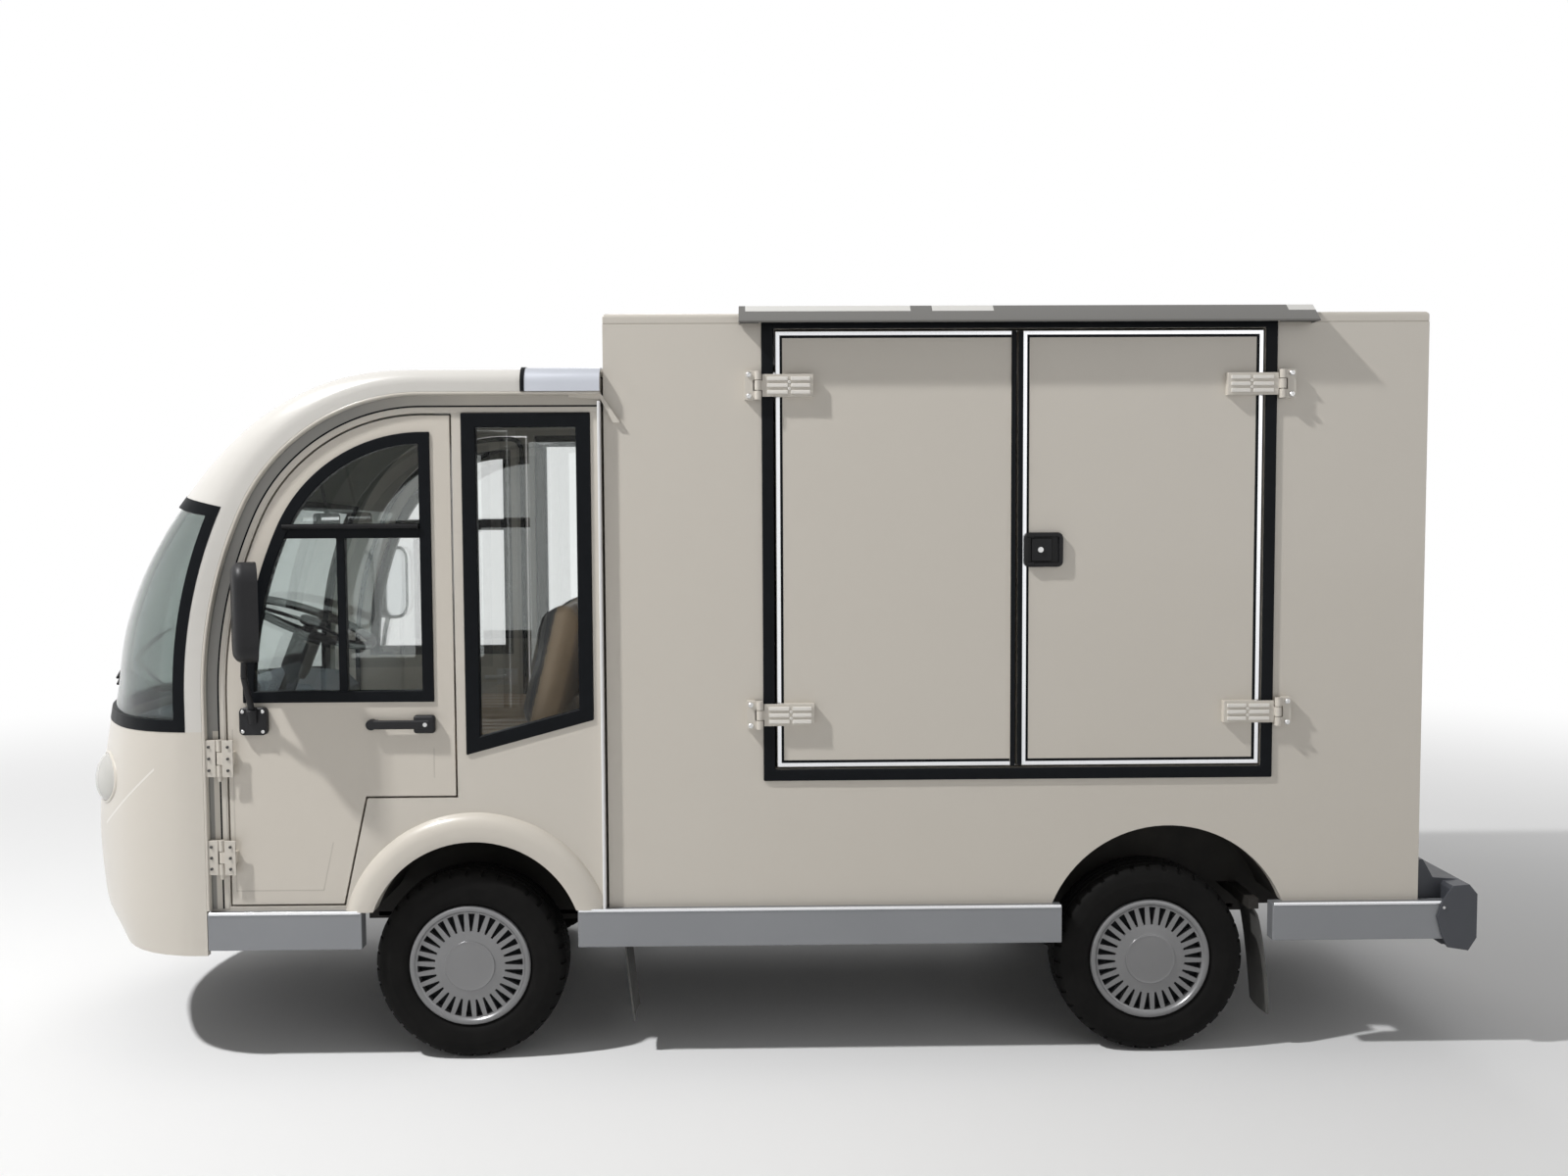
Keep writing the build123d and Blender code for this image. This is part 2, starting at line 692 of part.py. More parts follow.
with BuildPart() as cab_door_left:
    add(side_plate(lambda: draw_door(0), skin_y, side_thickness))
    add(side_plate(lambda: draw_door_window(0), skin_y + overrun, 2 * overrun + side_thickness),
        mode=Mode.SUBTRACT)
    for low_z, high_z in door_hinges_z:
        lower, middle, upper = hinge_thirds(low_z, high_z)
        add(barrel(door_pin_x, door_pin_y, *middle, door_barrel_r))
        add(block((door_pin_x, -door_pin_y - door_barrel_r, middle[0]),
                  (door_hinge_rear_x, -door_pin_y - door_barrel_r + hinge_leaf, middle[1])))
        add(block((door_hinge_rear_x - 2 * hinge_leaf, -door_pin_y - door_barrel_r, middle[0]),
                  (door_hinge_rear_x, -skin_y, middle[1])))
        add(barrel(door_pin_x, door_pin_y, low_z, high_z, door_pin_r + pin_slack), mode=Mode.SUBTRACT)
save(cab_door_left.part, "cab_door_left")
save(right_of(cab_door_left.part), "cab_door_right")

with BuildPart() as cab_hinges:
    for low_z, high_z in door_hinges_z:
        lower, middle, upper = hinge_thirds(low_z, high_z)
        add(barrel(door_pin_x, door_pin_y, low_z, high_z, door_pin_r))
        for knuckle in (lower, upper):
            add(barrel(door_pin_x, door_pin_y, *knuckle, door_barrel_r))
            add(block((door_hinge_front_x, -door_pin_y - hinge_leaf, knuckle[0]),
                      (door_pin_x, -door_pin_y, knuckle[1])))
            add(block((door_hinge_front_x, -door_pin_y - hinge_leaf, knuckle[0]),
                      (door_pin_x - 2 * door_barrel_r, -skin_y, knuckle[1])))
save(cab_side_left.part + cab_hinges.part, "cab_side_left")
save(right_of(cab_side_left.part + cab_hinges.part), "cab_side_right")

with BuildPart() as door_frame:
    add(side_plate(lambda: draw_door_window(0), skin_y + seal_proud, seal_depth))
    add(side_plate(lambda: draw_door_window(window_bar), skin_y + overrun, 2 * overrun + side_thickness),
        mode=Mode.SUBTRACT)
transom = block((arch_face_x, -cab_half_width, transom_z - transom_height / 2),
                (0, -skin_y + seal_depth, transom_z + transom_height / 2))
mullion = block((front_axle_x - mullion_ahead - mullion_width / 2, -cab_half_width, door_window_sill_z),
                (front_axle_x - mullion_ahead + mullion_width / 2, -skin_y + seal_depth, transom_z))
bar_field = side_plate(lambda: draw_door_window(window_bar), skin_y, seal_depth - seal_proud)
with BuildPart() as door_window_frame:
    add(door_frame.part)
    add(bar_field & transom)
    add(bar_field & mullion)
save(door_window_frame.part, "door_window_frame_left")
save(right_of(door_window_frame.part), "door_window_frame_right")
with BuildPart() as door_glass:
    add(side_plate(lambda: draw_door_window(window_bar), skin_y - glass_sink, glass_thickness))
    add(transom, mode=Mode.SUBTRACT)
    add(mullion, mode=Mode.SUBTRACT)
save(door_glass.part, "door_glass_left")
save(right_of(door_glass.part), "door_glass_right")

with BuildPart() as mirror_shell:
    add(block((mirror_front_x, -mirror_inner_y - mirror_depth, mirror_low_z),
              (mirror_rear_x, -mirror_inner_y, mirror_high_z)))
    fillet(mirror_shell.edges().filter_by(Axis.X), 2 * overrun)
    fillet(mirror_shell.edges().group_by(Axis.X)[0], overrun - mirror_arm_r / 2)
with BuildPart() as door_fittings:
    add(block((handle_rear_x - handle_lock, -skin_y - handle_proud, handle_low_z),
              (handle_rear_x, -skin_y, handle_high_z)))
    add(block((handle_front_x, -skin_y - handle_proud, handle_low_z + handle_step),
              (handle_rear_x, -skin_y - handle_proud + handle_grip, handle_high_z - handle_step)))
    add(block((handle_front_x, -skin_y - handle_proud, handle_low_z + handle_step),
              (handle_front_x + handle_grip, -skin_y, handle_high_z - handle_step)))
    add(block((mirror_front_x, -skin_y - mirror_base, mirror_base_low_z),
              (mirror_rear_x, -skin_y, mirror_base_high_z)))
    add(rod((mirror_front_x + overrun, -skin_y - mirror_arm_r, mirror_base_high_z - overrun),
            (mirror_front_x + overrun, -mirror_inner_y - mirror_depth / 2, mirror_low_z + overrun),
            mirror_arm_r))
    add(mirror_shell.part)
save(door_fittings.part, "door_fittings_left")
save(right_of(door_fittings.part), "door_fittings_right")

# Cargo box
def doorway(inset, outer_y, inner_y):
    """Left-hand block over the doorway, inset from the seal's outer edge."""
    return block((doorway_front_x + inset, -outer_y, doorway_bottom_z + inset),
                 (doorway_rear_x - inset, -inner_y, doorway_top_z - inset))


arch_cut = disc(rear_arch_centre, rear_arch[2], box_half_width + overrun, box_wall + 2 * overrun)
with BuildPart() as box_side:
    add(block((box_front_x, -box_half_width, side_foot_z), (box_rear_x, -inner_half, box_roof_bottom_z)))
    add(doorway(seal_width, box_half_width + overrun, inner_half - overrun), mode=Mode.SUBTRACT)
    add(arch_cut, mode=Mode.SUBTRACT)

with BuildPart() as box_end_walls:
    for wall_x in (box_front_x, box_rear_x - box_wall):
        add(block((wall_x, -inner_half, side_foot_z), (wall_x + box_wall, inner_half, box_roof_bottom_z)))
save(box_end_walls.part, "box_end_walls")
with BuildPart() as box_roof:
    add(block((box_front_x, -box_half_width, box_roof_bottom_z),
              (box_rear_x, box_half_width, box_roof_top_z)))
    fillet(box_roof.edges().group_by(Axis.Z)[-1], box_edge_r)
save(box_roof.part, "box_roof")

well_inner_y = inner_half - fit_gap - liner_depth
well_reach = math.sqrt((rear_arch[2] + liner_wall)**2 - (side_foot_z - rear_arch[1])**2)
with BuildPart() as box_floor:
    add(block((box_front_x + box_wall, -inner_half, side_foot_z),
              (box_rear_x - box_wall, inner_half, box_floor_top_z)))
    for low_y, high_y in ((-inner_half, -well_inner_y), (well_inner_y, inner_half)):
        add(block((rear_arch_centre[0] - well_reach, low_y, 0),
                  (rear_arch_centre[0] + well_reach, high_y, box_roof_top_z)),
            mode=Mode.SUBTRACT)
save(box_floor.part, "box_floor")


def wheel_well(centre, radius, depth):
    """Arched liner over a left wheel with its inner wall, from the side panel inwards."""
    with BuildPart() as well:
        add(disc(centre, radius + liner_wall, inner_half - fit_gap, depth))
        add(disc(centre, radius, inner_half + overrun, depth + overrun - liner_wall), mode=Mode.SUBTRACT)
        add(under_floor, mode=Mode.SUBTRACT)
    return well.part


front_liner_depth = inner_half - rail_outer_y - 2 * swing_gap
save(both_sides(wheel_well(rear_arch_centre, rear_arch[2], liner_depth)), "rear_wheel_wells")
save(both_sides(wheel_well(front_arch_centre, front_arch[2], front_liner_depth)), "front_wheel_wells")

with BuildPart() as doorway_seal:
    add(doorway(0, box_half_width + seal_stand, box_half_width))
    add(doorway(seal_width, box_half_width + overrun, inner_half), mode=Mode.SUBTRACT)
save(both_sides(doorway_seal.part), "doorway_seals")
leaf_inset = seal_width + leaf_gap
leaf_low_z = doorway_bottom_z + leaf_inset
leaf_high_z = doorway_top_z - leaf_inset
pin_y = box_half_width + pin_out
front_pin_x = doorway_front_x - barrel_r
rear_pin_x = doorway_rear_x + barrel_r


def cargo_leaf(outer_x, inner_x, pin_x):
    """Door leaf from its hinge side to the meeting edge, with its strap hinges; the sign follows its side."""
    side = math.copysign(1, inner_x - outer_x)
    with BuildPart() as leaf:
        add(block((min(outer_x, inner_x), -box_half_width, leaf_low_z),
                  (max(outer_x, inner_x), -inner_half, leaf_high_z)))
        trim = sorted((inner_x, inner_x - side * meeting_trim))
        add(block((trim[0], -box_half_width - trim_stand, leaf_low_z),
                  (trim[1], -box_half_width, leaf_high_z)))
        for centre_z in strap_centres_z:
            low_z, high_z = centre_z - strap_height / 2, centre_z + strap_height / 2
            lower, middle, upper = hinge_thirds(low_z, high_z)
            strap = sorted((pin_x + side * (barrel_r + knuckle_gap), pin_x + side * strap_length))
            pad = sorted((outer_x + side * barrel_r, pin_x + side * strap_length))
            add(block((strap[0], -pin_y, centre_z - strap_half),
                      (strap[1], -pin_y + strap_sheet, centre_z + strap_half)))
            add(block((pad[0], -pin_y, centre_z - strap_half),
                      (pad[1], -box_half_width, centre_z + strap_half)))
            tongue = sorted((pin_x, pin_x + side * (barrel_r + 2 * knuckle_gap)))
            add(block((tongue[0], -pin_y, middle[0]), (tongue[1], -pin_y + strap_sheet, middle[1])))
            add(barrel(pin_x, pin_y, *middle, barrel_r))
            add(barrel(pin_x, pin_y, low_z, high_z, pin_r + pin_slack), mode=Mode.SUBTRACT)
    return leaf.part


front_leaf = cargo_leaf(doorway_front_x + leaf_inset, meeting_x - leaf_gap / 2, front_pin_x)
rear_leaf = cargo_leaf(doorway_rear_x - leaf_inset, meeting_x + leaf_gap / 2, rear_pin_x)
save(front_leaf, "cargo_door_left_front")
save(right_of(front_leaf), "cargo_door_right_front")
save(rear_leaf, "cargo_door_left_rear")
save(right_of(rear_leaf), "cargo_door_right_rear")

latch_front_x = meeting_x + meeting_trim + leaf_gap
latch_centre_z = (doorway_bottom_z + doorway_top_z) / 2
with BuildPart() as latch:
    add(block((latch_front_x, -box_half_width - latch_stand, latch_centre_z - latch_height / 2),
              (latch_front_x + latch_width, -box_half_width, latch_centre_z + latch_height / 2)))
save(latch.part, "cargo_latch_left")
save(right_of(latch.part), "cargo_latch_right")

bracket_reach = 28.0
with BuildPart() as strap_brackets:
    for pin_x, side in ((front_pin_x, 1), (rear_pin_x, -1)):
        for centre_z in strap_centres_z:
            low_z, high_z = centre_z - strap_height / 2, centre_z + strap_height / 2
            lower, middle, upper = hinge_thirds(low_z, high_z)
            add(barrel(pin_x, pin_y, low_z, high_z, pin_r))
            root = sorted((pin_x - side * (barrel_r + 2 * knuckle_gap),
                           pin_x - side * (barrel_r + bracket_reach)))
            add(block((root[0], -pin_y, low_z), (root[1], -box_half_width, high_z)))
            for knuckle in (lower, upper):
                add(barrel(pin_x, pin_y, *knuckle, barrel_r))
                web = sorted((pin_x, pin_x - side * (barrel_r + 3 * knuckle_gap)))
                add(block((web[0], -pin_y, knuckle[0]), (web[1], -pin_y + strap_sheet, knuckle[1])))
save(box_side.part + strap_brackets.part, "box_side_left")
save(right_of(box_side.part + strap_brackets.part), "box_side_right")

gutter_front_x = doorway_front_x - 64.0
gutter_rear_x = doorway_rear_x + 100.0
gutter_out = 66.0
gutter_sheet = 5.0
gutter_rise = 19.0
gutter_drop_z = doorway_top_z - 23.0
gutter_points = (
    (-box_half_width, box_roof_bottom_z), (-box_half_width, box_roof_top_z + gutter_rise),
    (-box_half_width - gutter_sheet, box_roof_top_z + gutter_rise),
    (-box_half_width - gutter_out, gutter_drop_z + gutter_sheet),
    (-box_half_width - gutter_out, gutter_drop_z),
    (-box_half_width - gutter_out + gutter_sheet, gutter_drop_z),
    (-box_half_width - gutter_sheet, box_roof_top_z + gutter_rise - gutter_sheet),
    (-box_half_width - gutter_sheet, box_roof_bottom_z),
)
gutter_end = (
    (-box_half_width - gutter_sheet, box_roof_top_z + gutter_rise - gutter_sheet),
    (-box_half_width - gutter_out + gutter_sheet, gutter_drop_z),
    (-box_half_width - gutter_sheet, gutter_drop_z),
)
gutter_seal = seal_stand + fit_gap
with BuildPart() as gutter:
    add(lengthways(gutter_points, gutter_front_x, gutter_rear_x))
    add(lengthways(gutter_end, gutter_front_x, gutter_front_x + gutter_sheet))
    add(lengthways(gutter_end, gutter_rear_x - gutter_sheet, gutter_rear_x))
    add(block((doorway_front_x - swing_gap, -box_half_width - gutter_seal, 0),
              (doorway_rear_x + swing_gap, -box_half_width, doorway_top_z)), mode=Mode.SUBTRACT)
save(both_sides(gutter.part), "door_gutters")

# Skirts, flaps, bumper and rear lamps
skirt_top_z = side_foot_z
skirt_low_z = 345.0
skirt_y = cab_half_width + 3.0
skirt_inner_y = skirt_y - 48.0
bumper_cap = 80.0
skirt_runs = ((arch_face_x + knuckle_gap, front_axle_x - 303.0), (front_axle_x + 324.0, rear_axle_x - 271.0),
              (rear_axle_x + 349.0, overall_length / 2 - bumper_cap))
with BuildPart() as skirts:
    for start, end in skirt_runs:
        add(block((start, -skirt_y, skirt_low_z), (end, -skirt_inner_y, skirt_top_z)))
save(both_sides(skirts.part), "side_skirts")

flap_outer_y = skirt_inner_y - swing_gap
flap_width = 165.0
flap_sheet = 6.0
flap_bracket = 30.0
flap_low_z = 105.0
flap_runs = ((front_axle_x + 444.0, side_foot_z, 34.0),
             (rear_axle_x + 308.0, side_foot_z - flap_bracket, 52.0))
with BuildPart() as flaps:
    for head, high_z, lean in flap_runs:
        points = ((head, high_z), (head + flap_sheet, high_z), (head + lean + flap_sheet, flap_low_z),
                  (head + lean, flap_low_z))
        add(prism_left(points, flap_outer_y, flap_width))
save(both_sides(flaps.part), "mudflaps")

bumper_half = skirt_inner_y - swing_gap
cap_lap = 38.0
cap_sheet_y = 8.0
cap_half = skirt_y + cap_sheet_y
cap_front_x = overall_length / 2 - bumper_cap
# Columns: distance behind the skirt's end, height
cap_outline = ((8.0, 505.0), (-22.0, 462.0), (-cap_lap, 412.0), (-22.0, 356.0), (-6.0, 322.0),
               (bumper_cap - 24.0, 312.0),
               (bumper_cap, 350.0), (bumper_cap, 480.0), (bumper_cap - 24.0, 509.0))
bumper_points = (
    (box_rear_x, 569.0), (box_rear_x + 26.0, 569.0), (box_rear_x + 56.0, 515.0),
    (box_rear_x + bumper_depth - 24.0, 509.0), (box_rear_x + bumper_depth, 480.0),
    (box_rear_x + bumper_depth, 350.0), (box_rear_x + bumper_depth - 24.0, 312.0),
    (box_rear_x + 86.0, 312.0), (box_rear_x + 62.0, 380.0), (box_rear_x, 400.0),
)
cap_points = tuple((cap_front_x + behind, height) for behind, height in cap_outline)
with BuildPart() as bumper_end:
    add(prism_left(cap_points, cap_half, cap_sheet_y - fit_gap))
    add(prism_left(cap_points, cap_half, cap_half - bumper_half)
        & block((cap_front_x + fit_gap, -cap_half, 0), (overall_length, 0, arch_top_z)))
with BuildPart() as rear_bumper:
    add(prism_across(bumper_points, bumper_half))
    add(both_sides(bumper_end.part))
save(rear_bumper.part, "rear_bumper")

tail_lamp_y = box_half_width - 90.0
tail_lamp_half = 45.0
tail_lamp_z = (640.0, 880.0)
tail_lamp_depth = 18.0
with BuildPart() as tail_lamp:
    add(block((box_rear_x, -tail_lamp_y - tail_lamp_half, tail_lamp_z[0]),
              (box_rear_x + tail_lamp_depth, -tail_lamp_y + tail_lamp_half, tail_lamp_z[1])))
save(both_sides(tail_lamp.part), "tail_lamps")

# Chassis
cross_members_x = (rail_front_x + 60.0, front_axle_x + 420.0, rear_axle_x - 460.0, rear_axle_x + 440.0)
cross_half = 30.0
spring_eye_drop = rail_bottom_z - leaf_top_z + leaf_thickness
with BuildPart() as chassis_frame:
    for low_y, high_y in ((-rail_outer_y, -rail_inner_y), (rail_inner_y, rail_outer_y)):
        add(block((rail_front_x, low_y, rail_bottom_z), (box_rear_x, high_y, rail_top_z)))
    for x in cross_members_x:
        add(block((x - cross_half, -rail_outer_y, rail_bottom_z),
                  (x + cross_half, rail_outer_y, rail_bottom_z + 2 * cross_half)))
    for axle_x in (front_axle_x, rear_axle_x):
        for side in (-1, 1):
            x = axle_x + side * (leaf_spans[0] / 2 - cross_half / 2)
            for low_y, high_y in ((-rail_outer_y, -rail_inner_y), (rail_inner_y, rail_outer_y)):
                add(block((x - cross_half / 2, low_y, leaf_top_z),
                          (x + cross_half / 2, high_y, rail_bottom_z)))
    bracket_x = flap_runs[-1][0] + flap_sheet / 2
    for low_y, high_y in ((-flap_outer_y, -rail_outer_y), (rail_outer_y, flap_outer_y)):
        add(block((bracket_x - flap_bracket / 2, low_y, rail_top_z - flap_bracket),
                  (bracket_x + flap_bracket / 2, high_y, rail_top_z)))
save(chassis_frame.part, "chassis_frame")

with BuildPart() as leaf_springs:
    for axle_x in (front_axle_x, rear_axle_x):
        for level, span in enumerate(leaf_spans):
            add(block((axle_x - span / 2, -rail_outer_y, leaf_top_z - (level + 1) * leaf_thickness),
                      (axle_x + span / 2, -rail_inner_y, leaf_top_z - level * leaf_thickness)))
save(both_sides(leaf_springs.part), "leaf_springs")

leaf_low_face_z = leaf_top_z - len(leaf_spans) * leaf_thickness
lug_low = tyre_r - knuckle_half - swing_gap - lug_thickness
lug_high = tyre_r + knuckle_half + swing_gap + lug_thickness
fork_y = kingpin_y - knuckle_r - 3 * swing_gap
with BuildPart() as front_axle_left:
    add(block((front_axle_x - beam_half, -fork_y, beam_bottom_z),
              (front_axle_x + beam_half, 0, leaf_low_face_z)))
    add(block((front_axle_x - knuckle_r, -fork_y, lug_low),
              (front_axle_x + knuckle_r, -fork_y + lug_thickness, lug_high)))
    for low_z in (lug_low, lug_high - lug_thickness):
        add(block((front_axle_x - knuckle_r, -kingpin_y, low_z),
                  (front_axle_x + knuckle_r, -fork_y, low_z + lug_thickness)))
        add(barrel(front_axle_x, kingpin_y, low_z, low_z + lug_thickness, knuckle_r))
    add(barrel(front_axle_x, kingpin_y, lug_low, lug_high, kingpin_r))
with BuildPart() as front_axle:
    add(front_axle_left.part)
    mirror(front_axle_left.part, about=Plane.XZ)
save(front_axle.part, "front_axle_beam")

stub_end_y = wheel_y + 36.0
with BuildPart() as knuckle_left:
    add(barrel(front_axle_x, kingpin_y, tyre_r - knuckle_half, tyre_r + knuckle_half, knuckle_r))
    add(rod((front_axle_x, -kingpin_y, tyre_r), (front_axle_x, -stub_end_y, tyre_r), stub_r))
    add(barrel(front_axle_x, kingpin_y, lug_low, lug_high, kingpin_r + pin_slack), mode=Mode.SUBTRACT)
save(knuckle_left.part, "knuckle_left")
save(right_of(knuckle_left.part), "knuckle_right")

axle_tube_r = leaf_low_face_z - tyre_r
drum_r = 100.0
drum_inner_y = wheel_y - 37.0
motor_r = 95.0
motor_length = 260.0
motor_centre = (rear_axle_x - 190.0, 150.0)
with BuildPart() as rear_axle:
    add(rod((rear_axle_x, -drum_inner_y, tyre_r), (rear_axle_x, drum_inner_y, tyre_r), axle_tube_r))
    for side in (-1, 1):
        add(rod((rear_axle_x, side * drum_inner_y, tyre_r),
                (rear_axle_x, side * (hub_inner_y - swing_gap), tyre_r), drum_r))
        add(rod((rear_axle_x, side * (hub_inner_y - swing_gap), tyre_r),
                (rear_axle_x, side * stub_end_y, tyre_r), stub_r))
    add(rod((rear_axle_x, -motor_centre[1] - motor_r, tyre_r),
            (rear_axle_x, -motor_centre[1] + motor_r, tyre_r), motor_r))
    add(rod((motor_centre[0], -motor_centre[1] - motor_r, tyre_r),
            (motor_centre[0], -motor_centre[1] + motor_length, tyre_r), motor_r))
save(rear_axle.part, "rear_axle")

battery_ahead = 500.0
battery_rear_x = rear_axle_x - battery_ahead
battery_front_x = battery_rear_x - 950.0
battery_half = rail_inner_y - swing_gap
battery_bottom_z = 250.0
with BuildPart() as battery_box:
    add(block((battery_front_x, -battery_half, battery_bottom_z),
              (battery_rear_x, battery_half, side_foot_z)))
save(battery_box.part, "battery_box")

# Wheels: each is drawn once about the origin, its outer face towards -Y, then placed
half_tread = tyre_width / 2
tyre_outline = (
    (rim_r, -half_tread + tyre_shoulder / 2), (rim_r + tyre_shoulder / 2, -half_tread),
    (tyre_r - tyre_shoulder, -half_tread), (tyre_r - tyre_crown, -half_tread + tyre_shoulder),
    (tyre_r, 0), (tyre_r - tyre_crown, half_tread - tyre_shoulder), (tyre_r - tyre_shoulder, half_tread),
    (rim_r + tyre_shoulder / 2, half_tread), (rim_r, half_tread - tyre_shoulder / 2),
)
with BuildPart() as tyre:
    with BuildSketch(Plane.XY):
        with BuildLine():
            Polyline(*tyre_outline, close=True)
        make_face()
    revolve(axis=Axis.Y)

hub_depth = hub_inner_y - wheel_y
face_y = -half_tread + cap_face_in
with BuildPart() as rim:
    with BuildSketch(Plane.XY):
        with BuildLine():
            Polyline((rim_r, face_y), (rim_r, half_tread - cap_face_in),
                     (rim_r - barrel_wall, half_tread - cap_face_in),
                     (rim_r - barrel_wall, -rim_disc_in + rim_disc), (hub_r, -rim_disc_in + rim_disc),
                     (hub_r, -hub_depth), (stub_r + pin_slack, -hub_depth),
                     (stub_r + pin_slack, -hub_depth - 60.0),
                     (hub_r, -hub_depth - 60.0), (hub_r, -rim_disc_in), (rim_r - barrel_wall, -rim_disc_in),
                     (rim_r - barrel_wall, face_y), close=True)
        make_face()
    revolve(axis=Axis.Y)
    with BuildSketch(Plane.XZ.offset(-face_y)):
        Circle(rim_r)
    extrude(amount=-cap_sheet)
    with BuildSketch(Plane.XZ.offset(-face_y)):
        Circle(cap_centre_r)
    extrude(amount=cap_centre_proud, taper=30)
    with BuildSketch(Plane.XZ.offset(-face_y)):
        Circle(rim_r - cap_edge)
        Circle(cap_ring_r, mode=Mode.SUBTRACT)
    extrude(amount=cap_ring_proud)
    slot_middle = (cap_slot_inner_r + cap_slot_outer_r) / 2
    slot_half = (cap_slot_outer_r - cap_slot_inner_r) / 2
    with BuildSketch(Plane.XZ.offset(-face_y)):
        with PolarLocations(slot_middle, cap_slots):
            Polygon((-slot_half, -cap_slot_narrow), (slot_half, -cap_slot_wide), (slot_half, cap_slot_wide),
                    (-slot_half, cap_slot_narrow), align=None)
    extrude(amount=-cap_sheet, mode=Mode.SUBTRACT)

corners = (("front_left", front_axle_x, -1), ("front_right", front_axle_x, 1),
           ("rear_left", rear_axle_x, -1), ("rear_right", rear_axle_x, 1))
for corner, x, side in corners:
    place = Location((x, side * wheel_y, tyre_r), (0, 0, 0 if side < 0 else 180))
    save(place * tyre.part, f"tyre_{corner}")
    save(place * rim.part, f"wheel_{corner}")
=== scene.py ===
import bpy
import json
import math
from mathutils import Matrix, Vector

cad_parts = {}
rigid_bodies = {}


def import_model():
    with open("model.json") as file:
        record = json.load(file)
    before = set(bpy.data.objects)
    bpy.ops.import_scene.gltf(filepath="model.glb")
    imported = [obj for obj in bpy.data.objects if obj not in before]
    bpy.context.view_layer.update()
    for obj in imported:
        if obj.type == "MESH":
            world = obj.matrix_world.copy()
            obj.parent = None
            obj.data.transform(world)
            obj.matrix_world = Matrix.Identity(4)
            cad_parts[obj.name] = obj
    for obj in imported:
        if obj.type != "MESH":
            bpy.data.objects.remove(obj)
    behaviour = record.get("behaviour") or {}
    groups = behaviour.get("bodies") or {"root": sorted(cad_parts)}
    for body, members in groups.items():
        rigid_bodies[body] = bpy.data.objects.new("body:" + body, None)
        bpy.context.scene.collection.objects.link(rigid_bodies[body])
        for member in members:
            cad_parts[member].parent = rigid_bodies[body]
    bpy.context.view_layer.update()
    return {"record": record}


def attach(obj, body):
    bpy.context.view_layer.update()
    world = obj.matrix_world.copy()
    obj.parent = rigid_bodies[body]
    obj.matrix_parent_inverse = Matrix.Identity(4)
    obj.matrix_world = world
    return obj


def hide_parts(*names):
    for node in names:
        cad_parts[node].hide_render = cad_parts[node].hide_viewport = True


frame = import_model()


# Painted body panels: sheet steel and moulded panels in warm ivory gloss, sprayed after welding. The panels are the
# CAD's own, with their edges rolled over as pressed sheet is.
class Number:
    """A value that varies over a surface; arithmetic on it adds Math nodes."""

    def __init__(self, tree, socket):
        self.tree, self.socket = tree, socket

    def combine(self, operation, first, second):
        node = self.tree.nodes.new("ShaderNodeMath")
        node.operation = operation
        for socket, given in zip(node.inputs, (first, second)):
            if isinstance(given, Number):
                self.tree.links.new(given.socket, socket)
            else:
                socket.default_value = given
        return Number(self.tree, node.outputs[0])

    def __add__(self, other):
        return self.combine("ADD", self, other)

    def __mul__(self, other):
        return self.combine("MULTIPLY", self, other)

    def __sub__(self, other):
        return self.combine("SUBTRACT", self, other)

    def __rsub__(self, other):
        return self.combine("SUBTRACT", other, self)

    def __gt__(self, other):
        return self.combine("GREATER_THAN", self, other)

    def __lt__(self, other):
        return self.combine("LESS_THAN", self, other)

    def __abs__(self):
        return self.combine("ABSOLUTE", self, 0.0)

    __radd__, __rmul__ = __add__, __mul__


